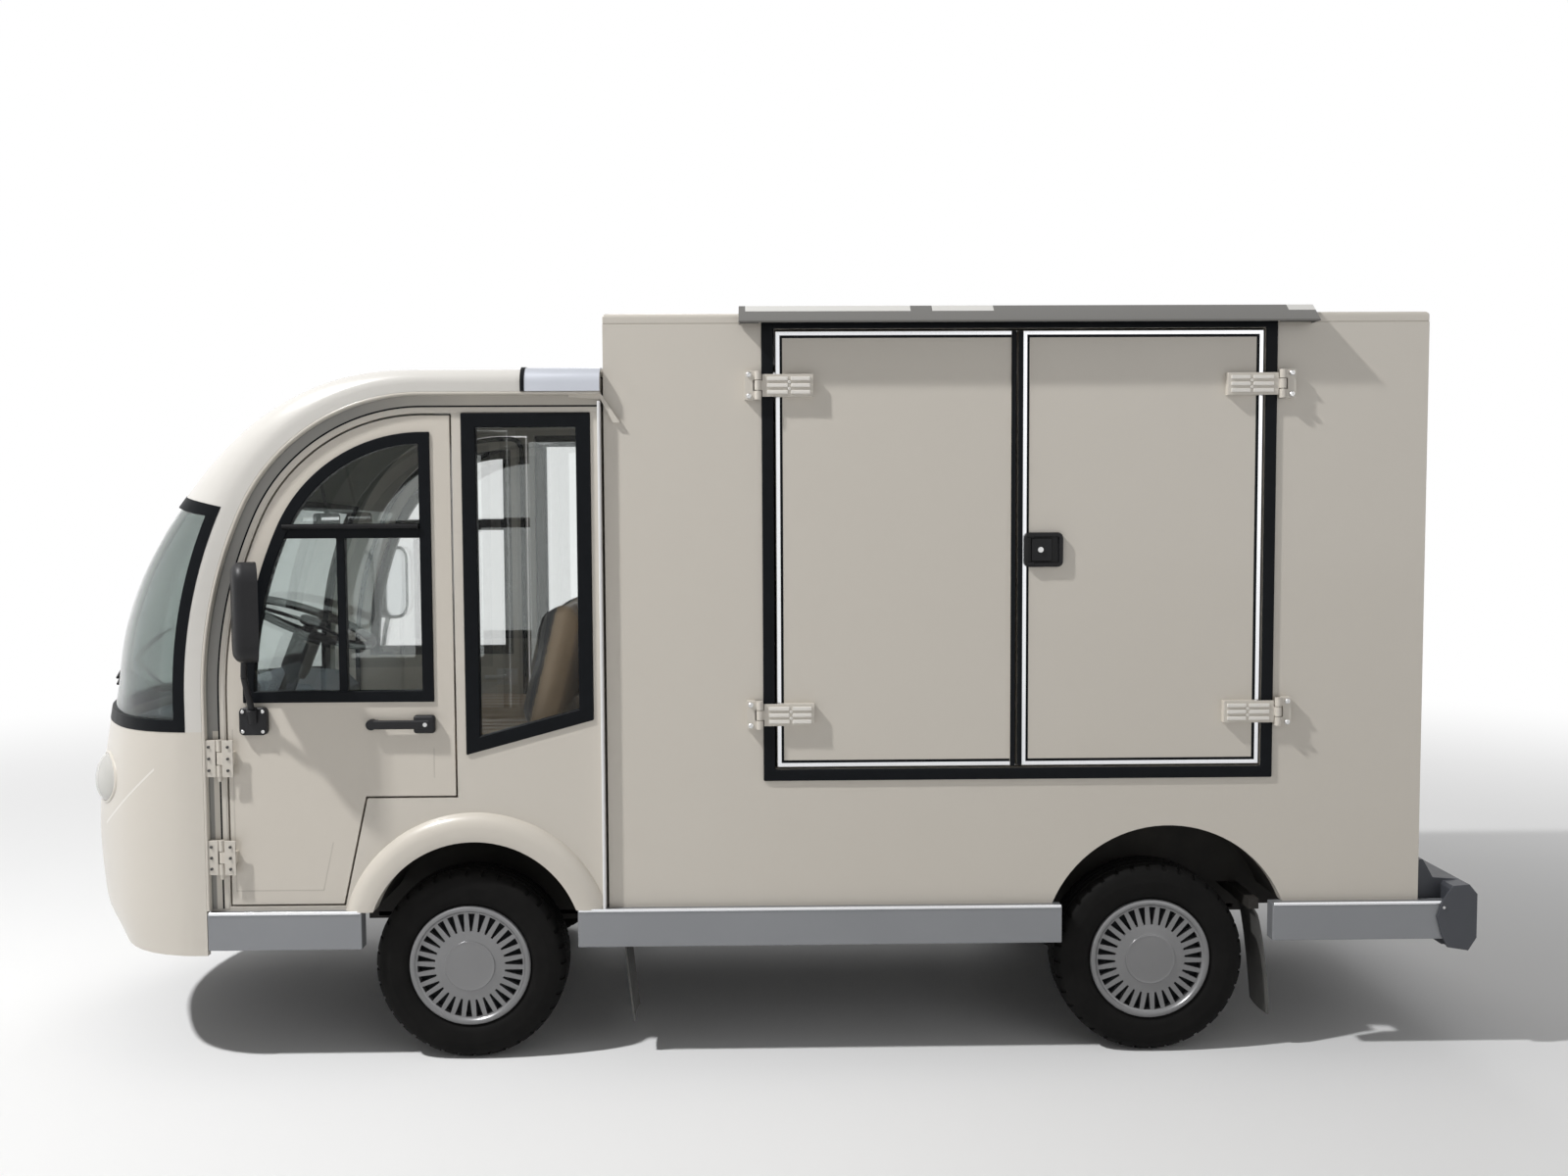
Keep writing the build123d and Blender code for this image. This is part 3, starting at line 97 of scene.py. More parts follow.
class Finish:
    """A surface finish: a material whose Principled shader takes constants and whose nodes come by type."""

    def __init__(self, name, **constants):
        self.material = bpy.data.materials.new(name)
        self.material.use_nodes = True
        self.tree = self.material.node_tree
        self.shader = self.tree.nodes["Principled BSDF"]
        for socket, value in constants.items():
            self.shader.inputs[socket.replace("_", " ")].default_value = value
        self.place = self.node("ShaderNodeTexCoord").outputs["Object"]

    def node(self, kind, settings=(), **inputs):
        made = self.tree.nodes.new(kind)
        for setting, value in dict(settings).items():
            setattr(made, setting, value)
        for name, value in inputs.items():
            self.feed(made.inputs[name.replace("_", " ")], value)
        return made

    def feed(self, socket, value):
        if isinstance(value, Number):
            value = value.socket
        if isinstance(value, bpy.types.NodeSocket):
            self.tree.links.new(value, socket)
        else:
            socket.default_value = value

    def noise(self, scale, detail=3.0, roughness=0.55, stretch=(1, 1, 1)):
        place = self.node("ShaderNodeMapping", Vector=self.place, Scale=stretch).outputs["Vector"]
        made = self.node("ShaderNodeTexNoise", Vector=place, Scale=scale, Detail=detail, Roughness=roughness)
        return Number(self.tree, made.outputs["Fac"])

    def height(self, axis):
        made = self.node("ShaderNodeSeparateXYZ", Vector=self.place)
        return Number(self.tree, made.outputs[axis])

    def between(self, factor, low, high):
        made = self.node("ShaderNodeMix", {"data_type": "RGBA", "clamp_factor": True})
        self.feed(made.inputs["Factor"], factor)
        self.feed(made.inputs[6], low)
        self.feed(made.inputs[7], high)
        return made.outputs[2]

    def spread(self, factor, low, high, start=0.0, end=1.0, shape="LINEAR"):
        made = self.node("ShaderNodeMapRange", {"interpolation_type": shape}, Value=factor, From_Min=start,
                         From_Max=end, To_Min=low, To_Max=high)
        return Number(self.tree, made.outputs["Result"])

    def bands(self, direction, scale, distortion=0.0):
        made = self.node("ShaderNodeTexWave", {"wave_type": "BANDS", "bands_direction": direction}, Vector=self.place,
                         Scale=scale, Distortion=distortion)
        return Number(self.tree, made.outputs["Fac"])

    def colour(self, value):
        self.feed(self.shader.inputs["Base Color"], value)

    def roughness(self, value):
        self.feed(self.shader.inputs["Roughness"], value)

    def bump(self, value, distance, strength=1.0):
        made = self.node("ShaderNodeBump", Height=value, Distance=distance, Strength=strength)
        self.feed(self.shader.inputs["Normal"], made.outputs["Normal"])

    def mottled(self, low, high, *grain):
        """Colour that noise varies between two; worn and grained do the same for roughness and bump."""
        self.colour(self.between(self.noise(*grain), (*low, 1), (*high, 1)))

    def worn(self, low, high, *grain, **more):
        self.roughness(self.spread(self.noise(*grain, **more), low, high))

    def grained(self, distance, strength, *grain, **more):
        self.bump(self.noise(*grain, **more), distance, strength)


def body_paint(name, clean=(0.590, 0.550, 0.488, 1), dull=(0.545, 0.500, 0.432, 1)):
    paint = Finish(name, Coat_Weight=0.35, Coat_Roughness=0.10)
    film = paint.spread(paint.noise(1.6, 3.0), 0.0, 0.6) * (1 - paint.height("Z") * 0.5)
    paint.colour(paint.between(film, clean, dull))
    paint.worn(0.28, 0.38, 9.0, 4.0)
    paint.grained(0.00008, 0.3, 230.0, 2.0)
    return paint


ivory = body_paint("ivory_gloss_paint")


def deselect():
    for chosen in list(bpy.context.selected_objects):
        chosen.select_set(False)


def only(piece):
    deselect()
    piece.select_set(True)
    bpy.context.view_layer.objects.active = piece


def open_up(piece):
    """Edit mode with all of a piece selected."""
    only(piece)
    bpy.ops.object.mode_set(mode="EDIT")
    bpy.ops.mesh.select_all(action="SELECT")


def done():
    bpy.ops.object.mode_set(mode="OBJECT")


def drawn(primitive, **sizes):
    """A new primitive, alone in the selection."""
    deselect()
    primitive(**sizes)
    return bpy.context.active_object


def linked(name, data):
    made = bpy.data.objects.new(name, data)
    bpy.context.scene.collection.objects.link(made)
    return made


def apply_all(piece):
    only(piece)
    for modifier in list(piece.modifiers):
        bpy.ops.object.modifier_apply(modifier=modifier.name)


def fixed(piece):
    """Applies a piece's place, then its modifiers."""
    only(piece)
    bpy.ops.object.transform_apply(location=True, rotation=True, scale=True)
    apply_all(piece)


def painted(piece, *finishes):
    piece.data.materials.clear()
    for finish in finishes:
        piece.data.materials.append(finish.material)


def settle(piece, name, body, finish, stands_for=(), smooth=32.0):
    """Applies place and modifiers, then names the piece, gives it its finish and hangs it on its body."""
    fixed(piece)
    piece.name = piece.data.name = name
    bpy.ops.object.shade_smooth_by_angle(angle=math.radians(smooth))
    weighted = piece.modifiers.new("weighted", "WEIGHTED_NORMAL")
    weighted.keep_sharp = True
    apply_all(piece)
    if finish is not None:
        painted(piece, finish)
    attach(piece, body)
    if stands_for:
        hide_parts(*stands_for)
    return piece


def body_of(node):
    return next(name for name, nodes in frame["record"]["behaviour"]["bodies"].items() if node in nodes)


def solid_of(node):
    return next(o for o in bpy.data.objects if o.type == "MESH" and o.name.split(".")[0] == node)


def copy_of(node):
    """A merged copy of a CAD node's mesh, its flat faces joined up again."""
    source = solid_of(node)
    piece = linked(node + "_copy", source.data.copy())
    piece.matrix_world = source.matrix_world.copy()
    open_up(piece)
    bpy.ops.mesh.remove_doubles(threshold=0.00002)
    bpy.ops.mesh.dissolve_limited(angle_limit=math.radians(0.6))
    done()
    return piece


def rolled(node, finish, width, segments=2, limit=40.0):
    """A CAD panel with rolled edges, which stands for its node."""
    piece = copy_of(node)
    bevel = piece.modifiers.new("edge", "BEVEL")
    bevel.width, bevel.segments, bevel.limit_method = width, segments, "ANGLE"
    bevel.angle_limit = math.radians(limit)
    return settle(piece, node + "_panel", body_of(node), finish, (node,))


panel_edges = {
    "cargo_door_left_front": 0.003, "cargo_door_left_rear": 0.003, "cargo_door_right_front": 0.003,
    "cargo_door_right_rear": 0.003, "box_side_left": 0.004, "box_side_right": 0.004, "box_end_walls": 0.003,
    "box_roof": 0.003, "cab_rear_wall": 0.002, "cab_side_left": 0.003, "cab_side_right": 0.003,
}
for node, edge in panel_edges.items():
    rolled(node, ivory, edge)


# Rain gutters over the cargo doors: folded sheet, screwed along the box's side. Their face carries painted shade in
# dark grey; the pale band along their top is what is left of a white sealing strip, with a painted highlight in it.
gutter_paint = body_paint("gutter_paint")
gutter_x, sealant_highlight_low_z = gutter_paint.height("X"), 2.181
sealant_and_highlight = (gutter_x > -0.012) * (gutter_x < 0.460) + (gutter_x > 0.522) * (gutter_x < 0.698) + (gutter_x > 1.545)
sealant_and_highlight = sealant_and_highlight * (gutter_paint.height("Z") > sealant_highlight_low_z)
# Painted shade: the face below the band is dark grey. Painted highlight: the pale band above it is lit top edge as
# well as sealing strip.
gutter_paint.colour(gutter_paint.between(sealant_and_highlight, (0.105, 0.101, 0.092, 1), (0.64, 0.63, 0.60, 1)))
rolled("door_gutters", gutter_paint, 0.0015)


# Cab roof, nose and windscreen: one moulded shell, cut on the same lines as the CAD's. The roof and nose are glass
# fibre in body paint, the screen is bonded glass in a black rubber surround.
arch_face_x, spring_z, arch_top_z, cab_tail_x, nose_foot_z = -1.585, 1.076, 1.958, -0.429, 0.330
screen_r, roof_r, shell_half = 1.310, 0.575, 0.705
join_turn = math.asin((arch_top_z - roof_r - spring_z) / (screen_r - roof_r))
screen_centre = (arch_face_x + screen_r, spring_z)
roof_centre = (screen_centre[0] - (screen_r - roof_r) * math.cos(join_turn), arch_top_z - roof_r)
post_run = spring_z - nose_foot_z
screen_end = post_run + screen_r * join_turn
roof_end = screen_end + roof_r * (math.pi / 2 - join_turn)
tail_end = roof_end + cab_tail_x - roof_centre[0]


def arch_point(run):
    """Point (x, z) of the cab's arched edge, a distance along it from the nose's foot."""
    if run < post_run:
        return arch_face_x, nose_foot_z + run
    if run < screen_end:
        turn, centre, radius = (run - post_run) / screen_r, screen_centre, screen_r
    elif run < roof_end:
        turn, centre, radius = join_turn + (run - screen_end) / roof_r, roof_centre, roof_r
    else:
        return roof_centre[0] + run - roof_end, arch_top_z
    return centre[0] - radius * math.cos(turn), centre[1] + radius * math.sin(turn)


# Columns: run along the arch, lean of the rib, bulge along it
shell_ribs = [(z - nose_foot_z, 0.0, bulge) for z, bulge in ((0.330, 0.455), (0.430, 0.522), (0.640, 0.540),
                                                           (0.985, 0.487))]
shell_ribs += [(post_run + share * (screen_end - post_run), lean, bulge) for share, lean, bulge in (
    (0.0, 2.0, 0.462), (0.25, 5.0, 0.440), (0.5, 8.0, 0.402), (0.75, 10.0, 0.346), (1.0, 12.0, 0.275))]
shell_ribs += [(screen_end + roof_r * (math.radians(angle) - join_turn), lean, bulge) for angle, lean, bulge in (
    (35.6, 24.0, 0.208), (46.5, 40.0, 0.166), (57.4, 55.0, 0.136), (68.3, 68.0, 0.112), (79.0, 80.0, 0.092))]
shell_ribs += [(roof_end, 90.0, 0.080), (tail_end, 90.0, 0.080)]


def eased(run, column):
    """A value of the ribs between two rows of their table, smooth and never past either row."""
    slopes = [(b[column] - a[column]) / (b[0] - a[0]) for a, b in zip(shell_ribs, shell_ribs[1:])]
    middle = [2 * a * b / (a + b) if a * b > 0 else 0.0 for a, b in zip(slopes, slopes[1:])]
    tangents = [slopes[0]] + middle + [slopes[-1]]
    row = max(k for k in range(len(slopes)) if shell_ribs[k][0] <= run + 1e-9)
    low, high = shell_ribs[row], shell_ribs[row + 1]
    span = high[0] - low[0]
    t = min(1.0, (run - low[0]) / span)
    return ((2 * t**3 - 3 * t**2 + 1) * low[column] + (t**3 - 2 * t**2 + t) * span * tangents[row]
            + (3 * t**2 - 2 * t**3) * high[column] + (t**3 - t**2) * span * tangents[row + 1])


def rib_arcs(bulge):
    """The arcs of a rib: shoulder start, shoulder radius, crown radius and the turn where they touch."""
    shoulder = 0.72 * (bulge - 0.025)
    start, drop = shell_half - shoulder, bulge - 0.025
    crown = (shoulder**2 - start**2 - drop**2) / (2 * (shoulder - drop))
    return start, shoulder, crown, math.atan2(0.025 - (bulge - crown), start)


def shell_point(run, place):
    """Point of the shell: its place across is a part of the rib's outline and a share of that part."""
    part, share = place
    bulge, lean = eased(run, 2), math.radians(eased(run, 1))
    start, shoulder, crown, touch = rib_arcs(bulge)
    bar_turn = min(math.asin(min(1.0, 0.057 / shoulder)), 0.8 * touch)
    lip_turn = min(math.asin(min(1.0, 0.023 / shoulder)), 0.4 * touch)
    if part == "crown":
        turn = math.pi / 2 - share * (math.pi / 2 - touch)
        across, out = crown * math.cos(turn), bulge - crown + crown * math.sin(turn)
    elif part == "edge":
        across, out = shell_half, 0.025 * (1 - share)
    else:
        first, last = {"shoulder": (touch, bar_turn), "bar": (bar_turn, lip_turn), "lip": (lip_turn, 0.0)}[part]
        turn = first + share * (last - first)
        across, out = start + shoulder * math.cos(turn), 0.025 + shoulder * math.sin(turn)
    foot = arch_point(run)
    return across, foot[0] - out * math.cos(lean), foot[1] + out * math.sin(lean)


shell_places = [("crown", k / 16) for k in range(16)] + [("shoulder", k / 5) for k in range(5)]
shell_places += [("bar", 0.0), ("bar", 0.5), ("lip", 0.0), ("lip", 0.35), ("lip", 0.7)]
shell_places += [("edge", 0.0), ("edge", 0.5), ("edge", 1.0)]
bar_column, lip_column = 21, 23
screen_base, glass_low, glass_high = 0.655, 0.689, screen_end - 0.034
strip_run, flashing_run = tail_end - 0.226, tail_end - 0.214
key_runs = (0.0, screen_base, glass_low, glass_high, screen_end, roof_end, strip_run, flashing_run, tail_end)
shell_runs = [0.0]
for low, high in zip(key_runs, key_runs[1:]):
    steps = max(1, round((high - low) / 0.026))
    shell_runs += [low + (high - low) * (k + 1) / steps for k in range(steps)]


def shell_sheet(keep):
    """The faces of the cab shell that pass a test on their run and column, drawn up from a flat grid."""
    columns, rows = 2 * (len(shell_places) - 1), len(shell_runs) - 1
    sheet = drawn(bpy.ops.mesh.primitive_grid_add, x_subdivisions=columns, y_subdivisions=rows, size=2.0)
    spots = {}
    for vertex in sheet.data.vertices:
        column = round((vertex.co.x + 1) / 2 * columns) - columns // 2
        row = round((vertex.co.y + 1) / 2 * rows)
        spots[vertex.index] = (abs(column), row)
        across, x, z = shell_point(shell_runs[row], shell_places[abs(column)])
        vertex.co = (x, math.copysign(across, column) if column else 0.0, z)
    bpy.ops.object.mode_set(mode="EDIT")
    bpy.ops.mesh.select_mode(type="FACE")
    bpy.ops.mesh.select_all(action="DESELECT")
    done()
    for face in sheet.data.polygons:
        run = sum(shell_runs[spots[v][1]] for v in face.vertices) / 4
        column = sum(spots[v][0] for v in face.vertices) / 4
        face.select = not keep(run, column)
    bpy.ops.object.mode_set(mode="EDIT")
    bpy.ops.mesh.delete(type="FACE")
    done()
    middle = min(sheet.data.polygons, key=lambda f: abs(f.center.y))
    if middle.normal.x > 0 or middle.normal.z < -0.2:
        sheet.data.flip_normals()
    return sheet


def walled(sheet, thickness, outwards=-1.0, finishes=()):
    """Gives a sheet its wall; of two finishes, the second is for its inner face."""
    if finishes:
        painted(sheet, *finishes)
    wall = sheet.modifiers.new("wall", "SOLIDIFY")
    wall.thickness, wall.offset, wall.use_even_offset = thickness, outwards, True
    wall.material_offset = 1 if finishes else 0
    return sheet


def in_screen(run, column):
    return screen_base < run < screen_end and column < lip_column


# Painted shade and reflection: the inner faces of roof and nose are a dark grey-green standing for ivory paint in
# shade, with green reflected in it.
inner_face_shade = Finish("headlining_grey_green")
inner_face_shade.mottled((0.20, 0.21, 0.18), (0.26, 0.27, 0.23), 60.0, 4.0)
inner_face_shade.worn(0.75, 0.9, 30.0)
inner_face_shade.grained(0.0004, 0.5, 420.0, 2.0)

# The roof shell is painted a little lighter than the cab's sides.
roof_paint = body_paint("roof_paint_bleached", (0.610, 0.590, 0.555, 1), (0.575, 0.548, 0.500, 1))
roof_shell = walled(shell_sheet(lambda run, column: run > screen_base and not in_screen(run, column)), 0.022,
                    finishes=(roof_paint, inner_face_shade))
settle(roof_shell, "cab_roof_shell", "chassis", None, ("cab_roof",), smooth=50.0)
nose_paint = body_paint("nose_paint")
nose_back, nose_up = nose_paint.height("X"), nose_paint.height("Z")
# The crease running up and back from each headlamp is a bump with a painted highlight along it.
crease_highlight = abs(nose_up - 0.766 - (nose_back + 1.861) * 0.86) < 0.0035
crease_highlight = crease_highlight * (nose_back > -1.965) * (nose_back < -1.735)
nose_paint.colour(nose_paint.between(crease_highlight, (0.590, 0.550, 0.488, 1), (0.720, 0.690, 0.640, 1)))
nose_paint.bump(crease_highlight, 0.0012, 0.6)
nose_shell = walled(shell_sheet(lambda run, column: run < screen_base), 0.022, finishes=(nose_paint, inner_face_shade))
settle(nose_shell, "nose_fascia_shell", "chassis", None, ("nose_fascia",), smooth=50.0)

rubber = Finish("black_seal_rubber", Specular_IOR_Level=0.09)
rubber.mottled((0.003, 0.004, 0.005), (0.007, 0.008, 0.010), 30.0)
rubber.worn(0.34, 0.50, 18.0)
rubber.grained(0.0002, 0.4, 300.0)
screen_seal = walled(shell_sheet(lambda run, column: in_screen(run, column) and not (
    glass_low < run < glass_high and column < bar_column)), 0.026, outwards=-0.92)
settle(screen_seal, "windscreen_rubber", "chassis", rubber, ("windscreen_surround",), smooth=40.0)

window_glass = Finish("window_glass", Transmission_Weight=1.0, IOR=1.45, Alpha=0.25, Specular_IOR_Level=0.15)
window_glass.mottled((0.62, 0.68, 0.66), (0.68, 0.74, 0.72), 0.8, 1.0)
window_glass.worn(0.0, 0.02, 3.0, 4.0)
# Painted reflection: the windscreen's darker grey-green colour stands for the surroundings reflected in it.
screen_reflection_tint = Finish("tinted_screen_glass", Transmission_Weight=1.0, IOR=1.45, Alpha=0.80)
screen_reflection_tint.mottled((0.34, 0.40, 0.38), (0.42, 0.48, 0.46), 0.8, 1.0)
screen_reflection_tint.worn(0.02, 0.08, 3.0, 4.0)
screen_glass = shell_sheet(lambda run, column: glass_low < run < glass_high and column < bar_column)
open_up(screen_glass)
bpy.ops.transform.shrink_fatten(value=-0.008)
done()
walled(screen_glass, 0.005)
settle(screen_glass, "windscreen_pane", "chassis", screen_reflection_tint, ("windscreen_glass",))


# Roof cap: plain aluminium sheet folded over the joint of cab and box, with a black rubber strip along its front.
# It is bonded to the roof shell behind the strip and held by a catch at each side.
bright = Finish("bright_aluminium", Metallic=1.0)
bright.mottled((0.78, 0.79, 0.81), (0.86, 0.87, 0.89), 4.0, 3.0)
bright.worn(0.18, 0.32, 60.0, 3.0, stretch=(0.1, 1, 1))
bright.grained(0.0001, 0.3, 500.0, 2.0, stretch=(0.02, 1, 1))
cap_metal = Finish("roof_cap_aluminium", Metallic=0.9)
cap_metal.mottled((0.50, 0.52, 0.57), (0.58, 0.60, 0.65), 4.0, 3.0)
cap_metal.worn(0.26, 0.40, 60.0, 3.0, stretch=(0.1, 1, 1))
cap_metal.grained(0.0001, 0.3, 500.0, 2.0, stretch=(0.02, 1, 1))
cap_sheet = walled(shell_sheet(lambda run, column: run > flashing_run), 0.005, outwards=1.0)
settle(cap_sheet, "roof_cap", "chassis", cap_metal, ("roof_flashing",))
cap_strip = walled(shell_sheet(lambda run, column: strip_run < run < flashing_run), 0.007, outwards=1.0)
settle(cap_strip, "roof_cap_strip", "chassis", rubber)


# Cab doors: pressed steel skins in body paint, each with a panel line stamped round its lower half and a short one
# behind the handle; painted shade darkens the lines.
door_paint = body_paint("ivory_door_paint")
door_x, door_z = door_paint.height("X"), door_paint.height("Z")


def stamped(distance, along, low, high):
    """Mask of a line 4 mm wide, between two places along it."""
    return (abs(distance) < 0.002) * (along > low) * (along < high)


door_line_shade_and_groove = stamped(door_x + 1.506, door_z, 0.514, 0.990) + stamped(door_z - 0.514, door_x, -1.506, -1.253)
door_line_shade_and_groove = door_line_shade_and_groove + stamped(door_x + 1.253 - (door_z - 0.514) * 0.217, door_z, 0.514, 0.655)
door_line_shade_and_groove = door_line_shade_and_groove + stamped(door_x + 0.925, door_z, 0.843, 0.930)
# Painted shade: the stamped lines are darkened in the colour, and pressed in by the bump.
door_paint.colour(door_paint.between(door_line_shade_and_groove * 0.35, (0.590, 0.545, 0.478, 1), (0.34, 0.31, 0.27, 1)))
door_paint.bump(door_paint.noise(230.0, 2.0) * 0.03 - door_line_shade_and_groove, 0.0015, 0.6)
for side in ("left", "right"):
    rolled("cab_door_" + side, door_paint, 0.003)


# Arch channel: the rolled flange and rain groove between the roof shell and the cab's sides, in body paint with a
# painted shadow of the shell's edge in the groove, with a rubber line along the door's edge. It is bonded to both.
def inside_arch(run, depth):
    """Point (x, z) a depth inside the arch's edge."""
    here, ahead = arch_point(run - 0.001), arch_point(run + 0.001)
    step = math.hypot(ahead[0] - here[0], ahead[1] - here[1])
    foot = arch_point(run)
    return foot[0] + depth * (ahead[1] - here[1]) / step, foot[1] - depth * (ahead[0] - here[0]) / step


# Columns: depth inside the arch's edge, distance from the truck's middle, finish of the strip that follows
channel_profile = ((-0.001, 0.7005, 0), (0.0005, 0.7045, 0), (0.004, 0.7058, 0), (0.0075, 0.7045, 0),
                   (0.009, 0.7000, 0), (0.0098, 0.6900, 1), (0.0108, 0.6818, 1), (0.014, 0.6812, 1),
                   (0.026, 0.6812, 1), (0.037, 0.6812, 1), (0.038, 0.6806, 2), (0.043, 0.6806, 0),
                   (0.044, 0.6814, 0), (0.050, 0.6816, 0), (0.056, 0.6814, 0), (0.057, 0.6805, 0))
channel_foot, channel_steps, channel_strips = 0.132, 110, len(channel_profile) - 1
shaded_paint = body_paint("channel_paint_dusty")
band_x, band_z = shaded_paint.height("X"), shaded_paint.height("Z")
# Painted shadow: the groove is dark grey at the front and lighter towards the rear; low on the front post it stays
# ivory, unshaded.
shadow_band = shaded_paint.between(shaded_paint.spread(band_x, 0.0, 1.0, -1.15, -0.80), (0.235, 0.228, 0.210, 1),
                            (0.440, 0.410, 0.360, 1))
unshaded_low_post = (band_x > -1.563) * (band_z < 0.985)
shaded_paint.colour(shaded_paint.between(unshaded_low_post, shadow_band, (0.560, 0.520, 0.455, 1)))
channel = drawn(bpy.ops.mesh.primitive_grid_add, x_subdivisions=channel_strips, y_subdivisions=channel_steps, size=2.0)
painted(channel, ivory, shaded_paint, rubber)
for face in channel.data.polygons:
    face.material_index = channel_profile[int((face.center.x + 1) / 2 * channel_strips)][2]
for vertex in channel.data.vertices:
    depth, across = channel_profile[round((vertex.co.x + 1) / 2 * channel_strips)][:2]
    step = round((vertex.co.y + 1) / 2 * channel_steps)
    x, z = inside_arch(channel_foot + step * (tail_end - channel_foot) / channel_steps, depth)
    vertex.co = (x, -across, z)
if channel.data.polygons[0].normal.y > 0:
    channel.data.flip_normals()
walled(channel, 0.003)


def stock(low, high, edge=0.0, segments=3):
    """A block between two corners, with its edges rounded over."""
    middle = [(a + b) / 2 for a, b in zip(low, high)]
    block = drawn(bpy.ops.mesh.primitive_cube_add, size=1.0, location=middle)
    block.scale = [b - a for a, b in zip(low, high)]
    fixed(block)
    if edge:
        open_up(block)
        bpy.ops.mesh.bevel(offset=edge, segments=segments, affect="EDGES")
        done()
    return block


def mirrored(piece):
    """The right-hand copy of a left piece, with its own mesh."""
    fixed(piece)
    twin = linked(piece.name + "_twin", piece.data.copy())
    for vertex in twin.data.vertices:
        vertex.co.y = -vertex.co.y
    twin.data.flip_normals()
    return twin


def joined(pieces):
    """Several meshes made one; the first keeps its name."""
    for piece in pieces:
        fixed(piece)
    only(pieces[0])
    for piece in pieces[1:]:
        piece.select_set(True)
    bpy.ops.object.join()
    return bpy.context.active_object


def pair(piece, name, body, finish, stands_for=(), smooth=32.0):
    """Settles a left piece and its mirror image, each on its own side's body."""
    twin = mirrored(piece)
    settle(piece, name, body, finish, stands_for, smooth)
    swap = [node.replace("left", "right") for node in stands_for]
    settle(twin, name.replace("left", "right"), body.replace("left", "right"), finish, swap, smooth)


def both(piece, name, finish, stands_for=(), smooth=32.0):
    """Settles a left piece, joined with its mirror image, on the chassis."""
    return settle(joined([piece, mirrored(piece)]), name, "chassis", finish, stands_for, smooth)


tail_flange = stock((-0.4375, -0.7035, 0.457), (-0.4295, -0.6795, 1.930), 0.002)
both(joined([channel, tail_flange]), "arch_channels", None, smooth=50.0)


# Headlamps: a milky moulded lens that bulges over a fluted reflector, held in a painted bezel on each front corner of
# the nose. Lens and reflector clip into the bezel from behind.
lamp_y, lamp_z, lamp_wide, lamp_high = 0.468, 0.815, 0.088, 0.072


def nose_x(y, z):
    """Front of the nose skin at a point across and up."""
    bulge = eased(z - nose_foot_z, 2)
    start, shoulder, crown, touch = rib_arcs(bulge)
    if abs(y) > crown * math.cos(touch):
        out = 0.025 + math.sqrt(max(0.0, shoulder**2 - (abs(y) - start)**2))
    else:
        out = bulge - crown + math.sqrt(crown**2 - y**2)
    return arch_face_x - out


def on_nose(piece, grow, proud, sink):
    """Lays a piece drawn round the origin, its height along Z, on the left corner of the nose."""
    for vertex in piece.data.vertices:
        y, z = -lamp_y + vertex.co.x * lamp_wide * grow, lamp_z + vertex.co.y * lamp_high * grow
        vertex.co = (nose_x(y, z) + sink - vertex.co.z * proud, y, z)
    open_up(piece)
    bpy.ops.mesh.normals_make_consistent(inside=False)
    done()
    if sum(face.normal.x * face.area for face in piece.data.polygons) > 0:
        piece.data.flip_normals()


def choose(piece, kind, test):
    """Selects the faces, edges or corners that pass a test on their middle and normal, ready in edit mode."""
    only(piece)
    bpy.ops.object.mode_set(mode="EDIT")
    bpy.ops.mesh.select_mode(type=kind)
    bpy.ops.mesh.select_all(action="DESELECT")
    done()
    if kind == "FACE":
        for face in piece.data.polygons:
            face.select = test(face.center, face.normal)
    elif kind == "VERT":
        for vertex in piece.data.vertices:
            vertex.select = test(vertex.co)
    else:
        corners = piece.data.vertices
        for edge in piece.data.edges:
            first, last = (corners[v].co for v in edge.vertices)
            edge.select = test((first + last) / 2, (last - first).normalized())
    bpy.ops.object.mode_set(mode="EDIT")


def dome():
    """The front half of a ball, open behind."""
    ball = drawn(bpy.ops.mesh.primitive_uv_sphere_add, segments=48, ring_count=20, radius=1.0)
    choose(ball, "VERT", lambda place: place.z < -0.01)
    bpy.ops.mesh.delete(type="VERT")
    done()
    return ball


lens_clear = Finish("lamp_lens_clear", Transmission_Weight=0.6, IOR=1.45)
lens_clear.mottled((0.80, 0.79, 0.75), (0.86, 0.85, 0.82), 3.0)
lens_clear.worn(0.02, 0.07, 8.0)
lens_clear.grained(0.0006, 0.4, 40.0, 1.0, stretch=(0.2, 1, 0.05))
reflector = Finish("lamp_reflector", Metallic=1.0)
reflector.mottled((0.80, 0.80, 0.79), (0.90, 0.90, 0.89), 20.0)
reflector.worn(0.10, 0.22, 30.0)
reflector.grained(0.003, 0.5, 55.0, 1.0, stretch=(1, 1, 0.1))
bowl = dome()
on_nose(bowl, 0.98, 0.008, 0.002)
walled(bowl, 0.002)
both(bowl, "headlamp_reflectors", reflector, ("headlamps",), smooth=60.0)
lens = dome()
on_nose(lens, 0.99, 0.034, 0.001)
walled(lens, 0.003)
both(lens, "headlamp_lenses", lens_clear, smooth=60.0)
bezel = drawn(bpy.ops.mesh.primitive_torus_add, major_radius=1.0, minor_radius=0.06, major_segments=72,
              minor_segments=12)
on_nose(bezel, 1.03, 0.10, 0.0)
both(bezel, "headlamp_bezels", ivory, smooth=60.0)


